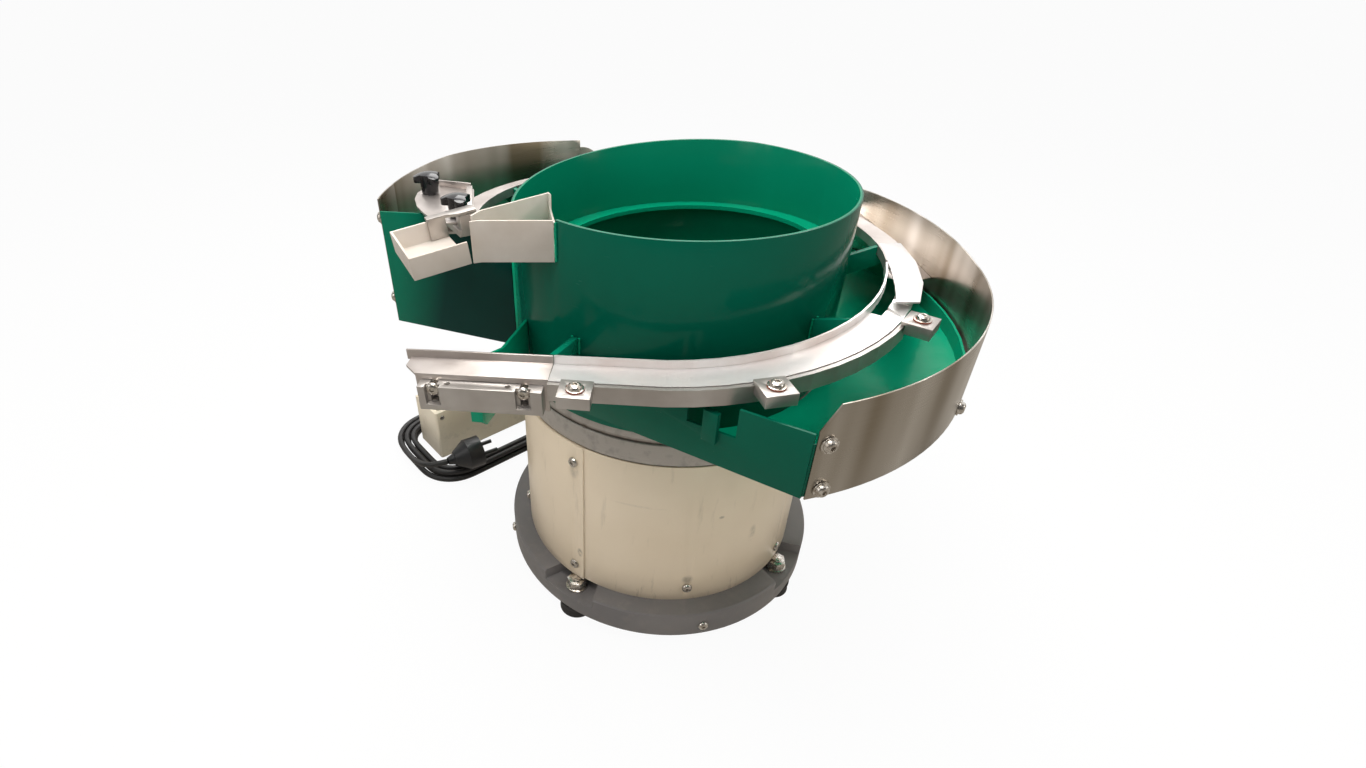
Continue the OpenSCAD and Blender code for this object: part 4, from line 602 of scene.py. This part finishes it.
# Nodes and pieces whose finish isn't the one of their slot
SPECIAL = {"bowl_wall": BOWL_SHADED_ENAMEL, "bowl_floor": PAINTED_SHADE_ENAMEL, "pan_front_panel": PAINTED_SHADE_ENAMEL,
           "left_end_plate": PLATE_SHADED_ENAMEL, "track_arms": ARM_SHADED_ENAMEL, "outlet_track": STREAKED_STEEL,
           "upper_track": STREAKED_STEEL, "selector_plate": STREAKED_STEEL,
           "deflector_sheet": STREAKED_STEEL, "clamp_knob_inner": KNOB_BLACK,
           "clamp_knob_outer": KNOB_BLACK, "lid_blank_plate": BLANK_PLATE}


def dress(piece, slot, name=None):
    """Gives a piece the finish that its name has in SPECIAL, or else the one of its slot."""
    piece.data.materials.clear()
    piece.data.materials.append(SPECIAL.get(name) or FINISHES[slot])


for node, thing in NODES.items():
    dress(thing, SLOT_OF[node], node)
dress(mains_cord, "cord_black")
dress(drive_cord, "cord_black")


# Making pieces by hand
def add_modifier(piece, kind, **settings):
    """Adds a modifier with its settings and applies it."""
    select_only(piece)
    modifier = piece.modifiers.new("shape", kind)
    for key, value in settings.items():
        setattr(modifier, key, value)
    bpy.ops.object.modifier_apply(modifier=modifier.name)


def smooth_by(piece, angle):
    select_only(piece)
    bpy.ops.object.shade_smooth_by_angle(angle=math.radians(angle))


def at_home(piece, name, body, slot, nodes=()):
    """Puts a finished piece's place into its mesh, hangs it on its body's empty, hides the nodes that
    it replaces and dresses it.
    """
    select_only(piece)
    bpy.ops.object.transform_apply(location=True, rotation=True, scale=True)
    piece.name = name
    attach(piece, body)
    if nodes:
        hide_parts(*nodes)
    dress(piece, slot, nodes[0] if nodes else name)
    return piece


SAME_PLACE = 2e-6
FLAT_ANGLE = 0.6


def copy_of(node, name):
    """A copy of a node's mesh with its loose triangles joined into whole faces."""
    piece = bpy.data.objects.new(name, NODES[node].data.copy())
    bpy.context.scene.collection.objects.link(piece)
    select_only(piece)
    bpy.ops.mesh.customdata_custom_splitnormals_clear()
    bpy.ops.object.mode_set(mode="EDIT")
    bpy.ops.mesh.select_all(action="SELECT")
    bpy.ops.mesh.remove_doubles(threshold=SAME_PLACE)
    bpy.ops.mesh.dissolve_limited(angle_limit=math.radians(FLAT_ANGLE))
    bpy.ops.object.mode_set(mode="OBJECT")
    return piece


SHARP_ANGLE, SMOOTH_ANGLE = 32, 36
WIDE_EDGE = 0.9


def softened(node, width):
    """A copy of a rigid node whose sharp edges are rounded, in place of the node."""
    name = node + "_finished"
    piece = copy_of(node, name)
    add_modifier(piece, "BEVEL", width=width * MM, segments=3 if width > WIDE_EDGE else 2,
                 limit_method="ANGLE", angle_limit=math.radians(SHARP_ANGLE),
                 use_clamp_overlap=True)
    smooth_by(piece, SMOOTH_ANGLE)
    return at_home(piece, name, BODY_OF[node], SLOT_OF[node], [node])


# The width of each node's rounded edges, in millimetres
EDGES = {
    "base_disc": 0.8, "rubber_feet": 1.0, "foot_studs": 0.4, "drum_cover": 0.25, "seam_strap": 0.3,
    "drum_screws": 0.4, "cable_glands": 0.4, "top_plate": 0.6, "bowl_mount_disc": 0.5,
    "centre_bolt": 0.5, "bowl_wall": 0.6, "left_end_plate": 0.5, "pan_front_panel": 0.4,
    "right_guard": 0.25, "left_guard": 0.25, "guard_screws": 0.5, "junction_plate": 0.3,
    "deflector_sheet": 0.25, "outlet_track": 0.3, "outlet_side_plate": 0.5, "outlet_screws": 0.5,
    "track_clamps": 0.5, "clamp_screws": 0.5, "track_arms": 0.5, "outlet_bracket": 0.4,
    "exit_chute": 0.4, "catch_tray": 0.4, "tray_bracket": 0.4, "selector_base": 0.6,
    "selector_plate": 0.4, "clamp_knob_inner": 1.1, "clamp_knob_outer": 1.1,
    "controller_case": 1.2, "controller_lid": 0.7, "controller_screws": 0.3, "fuse_holder": 0.5,
    "control_knob": 0.8, "power_rocker": 0.6, "mains_plug": 1.5,
}
made = {node: softened(node, edge) for node, edge in EDGES.items()}


# The leaf packs: a copy with each face cut finer and shaded smooth
LEAF_CUTS = 7
LEAF_SMOOTH_ANGLE = 30


def add_springs():
    node = "leaf_springs"
    piece = copy_of(node, "leaf_springs_finished")
    bpy.ops.object.mode_set(mode="EDIT")
    bpy.ops.mesh.select_all(action="SELECT")
    bpy.ops.mesh.subdivide(number_cuts=LEAF_CUTS)
    bpy.ops.object.mode_set(mode="OBJECT")
    smooth_by(piece, LEAF_SMOOTH_ANGLE)
    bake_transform(piece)
    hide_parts(node)
    dress(piece, SLOT_OF[node])


add_springs()


# Fibre washers under the clamp screws: the faces further from a screw's axis than its head reaches.
# The places are in millimetres.
HEAD_R = 4.95
CLAMP_SCREW_AXES = [(-57.0, -206.9), (69.06, -195.02), (176.39, -108.1)]


def add_washers():
    screws = made["clamp_screws"]
    screws.data.materials.append(FIBRE)
    for face in screws.data.polygons:
        here = (face.center.x / MM, face.center.y / MM)
        if min(math.dist(here, axis) for axis in CLAMP_SCREW_AXES) > HEAD_R:
            face.material_index = 1


add_washers()

# Weld beads on the bowl's outside. Sizes and heights are in millimetres, turns in degrees.
BEAD_R, FILLET_R = 141.7, 141.8
BEAD_RIPPLE, BEAD_ROUNDNESS = 0.16, 2
CHUTE_BEAD_FROM, CHUTE_BEAD_TO, CHUTE_END_AZ = -149, -127.2, -126.6
CHUTE_BEAD_LOW, CHUTE_END_LOW, BOWL_RIM = 368.2, 368.6, 397.4
ARM_WELD, ARM_HALF_TURN = 17.0, 1.25
ARM_TOPS = {-41: 325.6, 4: 333.3, 58: 339.1, 108: 346.5, 158: 353.8}
FIRST_ARM_AZ, FIRST_ARM_HALF_TURN = -119.4, 1.35
FIRST_ARM_LOW, FIRST_ARM_TOP = 299.0, 312.6
POST_AZ, POST_FROM, POST_TO = -122.7, 0.2, 6
POST_FOOT, POST_RISE = 246.4, 0.26
# The number of places and the radius of each weld
CHUTE_BEAD, CHUTE_END_BEAD, POST_BEAD = (30, 1.1), (18, 1.0), (8, 0.8)
ARM_BEAD, FIRST_ARM_BEAD = (12, 0.9), (10, 0.9)


def spread_points(start, end, count):
    return [start + (end - start) * k / (count - 1) for k in range(count)]


def bead(name, points, radius):
    """A weld bead along places on the bowl: the distance from its axis, the turn and the height."""
    places = [(r * math.cos(math.radians(az)) * MM, r * math.sin(math.radians(az)) * MM, z * MM)
              for r, az, z in points]
    piece = tube(name, places, 2 * radius * MM, BEAD_ROUNDNESS, BEAD_RIPPLE)
    return at_home(piece, name, "bowl", "green_enamel")


def upright_bead(name, az, low, high, count, radius):
    return bead(name, [(BEAD_R, az, z) for z in spread_points(low, high, count)], radius)


def add_beads():
    count, radius = CHUTE_BEAD
    foot = [(FILLET_R, az, CHUTE_BEAD_LOW)
            for az in spread_points(CHUTE_BEAD_FROM, CHUTE_BEAD_TO, count)]
    bead("chute_weld_low", foot, radius)
    upright_bead("chute_weld_end", CHUTE_END_AZ, CHUTE_END_LOW, BOWL_RIM, *CHUTE_END_BEAD)
    sides = {"a": -1, "b": 1}
    for k, (az, top) in enumerate(ARM_TOPS.items()):
        for side, way in sides.items():
            side_az = az + way * ARM_HALF_TURN
            upright_bead(f"arm_weld_{k}{side}", side_az, top - ARM_WELD, top, *ARM_BEAD)
    for side, way in sides.items():
        side_az = FIRST_ARM_AZ + way * FIRST_ARM_HALF_TURN
        upright_bead(f"first_arm_weld_{side}", side_az, FIRST_ARM_LOW, FIRST_ARM_TOP, *FIRST_ARM_BEAD)
    count, radius = POST_BEAD
    post = [(FILLET_R, POST_AZ + turn, POST_FOOT + turn * POST_RISE)
            for turn in spread_points(POST_FROM, POST_TO, count)]
    bead("post_weld", post, radius)


add_beads()


# A blank plate on the controller's lid, where the real one has its rating plate: its start and end
# along each axis of the controller's own frame, in millimetres
LID_PLATE = [(16, 62), (12, 42), (70.5, 70.9)]
LID_PLATE_EDGE = 0.15


def add_blank_plate():
    bpy.ops.object.select_all(action="DESELECT")
    bpy.ops.mesh.primitive_cube_add(size=1.0)
    plate = bpy.context.object
    plate.scale = [(high - low) * MM for low, high in LID_PLATE]
    bpy.ops.object.transform_apply(location=False, rotation=False, scale=True)
    add_modifier(plate, "BEVEL", width=LID_PLATE_EDGE * MM, segments=2, limit_method="ANGLE")
    plate.rotation_euler = (0.0, 0.0, CASE_YAW)
    plate.location = from_case([(low + high) / 2 for low, high in LID_PLATE])
    at_home(plate, "lid_blank_plate", "drive_base", "cream_case")


add_blank_plate()


# Stage and light
FLOOR_SIZE = 44.0
FLOOR_COLOUR, FLOOR_MIRRORED = (0.78, 0.77, 0.75), (0.43, 0.395, 0.345, 1.0)
FLOOR_GLOW, ROOM_SEEN = 0.95, (0.955, 0.955, 0.955, 1.0)
ROOM_LIGHT, ROOM_STRENGTH = (0.93, 0.96, 1.0, 1.0), 0.38
# The room as the enamel mirrors it, from the front to the back wall: each place and its shade
ROOM_SHADES = [(0.0, 0.1), (0.42, 0.16), (0.62, 0.62), (0.78, 1.0)]


def add_stage():
    """A floor: nearly white to the camera, dim in reflections, and plain paint to other rays."""
    bpy.ops.object.select_all(action="DESELECT")
    bpy.ops.mesh.primitive_plane_add(size=FLOOR_SIZE, location=(0.0, 0.0, 0.0))
    floor = bpy.context.object
    floor.name = "floor"
    f = Finish("pale_floor", FLOOR_COLOUR, 0.8)
    glow = f.add("ShaderNodeEmission", inputs={"Color": (1.0, 1.0, 1.0, 1.0)})
    mirrored = f.add("ShaderNodeEmission", inputs={"Color": FLOOR_MIRRORED})
    seen = f.blended(f.ray("Camera") * FLOOR_GLOW, Value(f, f.shader.outputs[0]), glow)
    whole = f.blended(f.ray("Glossy"), seen, mirrored)
    f.feed(f.tree.nodes["Material Output"], "Surface", whole)
    floor.data.materials.append(f.material)


def add_world():
    """White to the camera, and a plain grey room with a bright back wall in reflections."""
    world = bpy.data.worlds.new("studio")
    bpy.context.scene.world = world
    world.use_nodes = True
    f = Nodes(world.node_tree)
    light = f.tree.nodes["Background"]
    f.feed(light, "Color", ROOM_LIGHT)
    f.feed(light, "Strength", ROOM_STRENGTH)
    y = f.parts(f.add("ShaderNodeTexCoord", output="Generated"))[1]
    stops = [(spot, (shade, shade * 0.985, shade * 0.96, 1.0)) for spot, shade in ROOM_SHADES]
    room = f.add("ShaderNodeValToRGB", {"stops": stops}, [y * 0.5 + 0.5])
    mirrored = f.add("ShaderNodeBackground", inputs={"Color": room})
    seen = f.add("ShaderNodeBackground", inputs={"Color": ROOM_SEEN})
    unseen = f.blended(f.ray("Glossy"), Value(f, light.outputs[0]), mirrored)
    whole = f.blended(f.ray("Camera"), unseen, seen)
    f.feed(f.tree.nodes["World Output"], "Surface", whole)


def add_lamp(name, place, target, size, energy, colour):
    lamp = bpy.data.lights.new(name, "AREA")
    lamp.shape = "RECTANGLE"
    lamp.size, lamp.size_y = size
    lamp.energy = energy
    lamp.color = colour
    holder = bpy.data.objects.new(name, lamp)
    holder.location = place
    holder.rotation_euler = (Vector(target) - Vector(place)).to_track_quat("-Z", "Y").to_euler()
    bpy.context.scene.collection.objects.link(holder)


add_stage()
add_world()
add_lamp("ceiling_light", (-0.15, -0.06, 1.45), (0.0, 0.0, 0.3), (1.1, 0.7), 20.5,
         (1.0, 0.99, 0.97))
add_lamp("back_light", (0.1, 1.05, 1.45), (0.0, -0.1, 0.3), (1.4, 0.6), 10.0, (1.0, 0.99, 0.98))
add_lamp("window_light", (-1.5, -1.1, 1.15), (0.0, 0.0, 0.25), (0.9, 1.2), 7.0, (1.0, 0.98, 0.95))
add_lamp("side_light", (1.6, -0.5, 0.9), (0.0, 0.0, 0.25), (0.5, 1.0), 4.5, (1.0, 0.94, 0.86))

bpy.context.scene.view_settings.view_transform = "Standard"
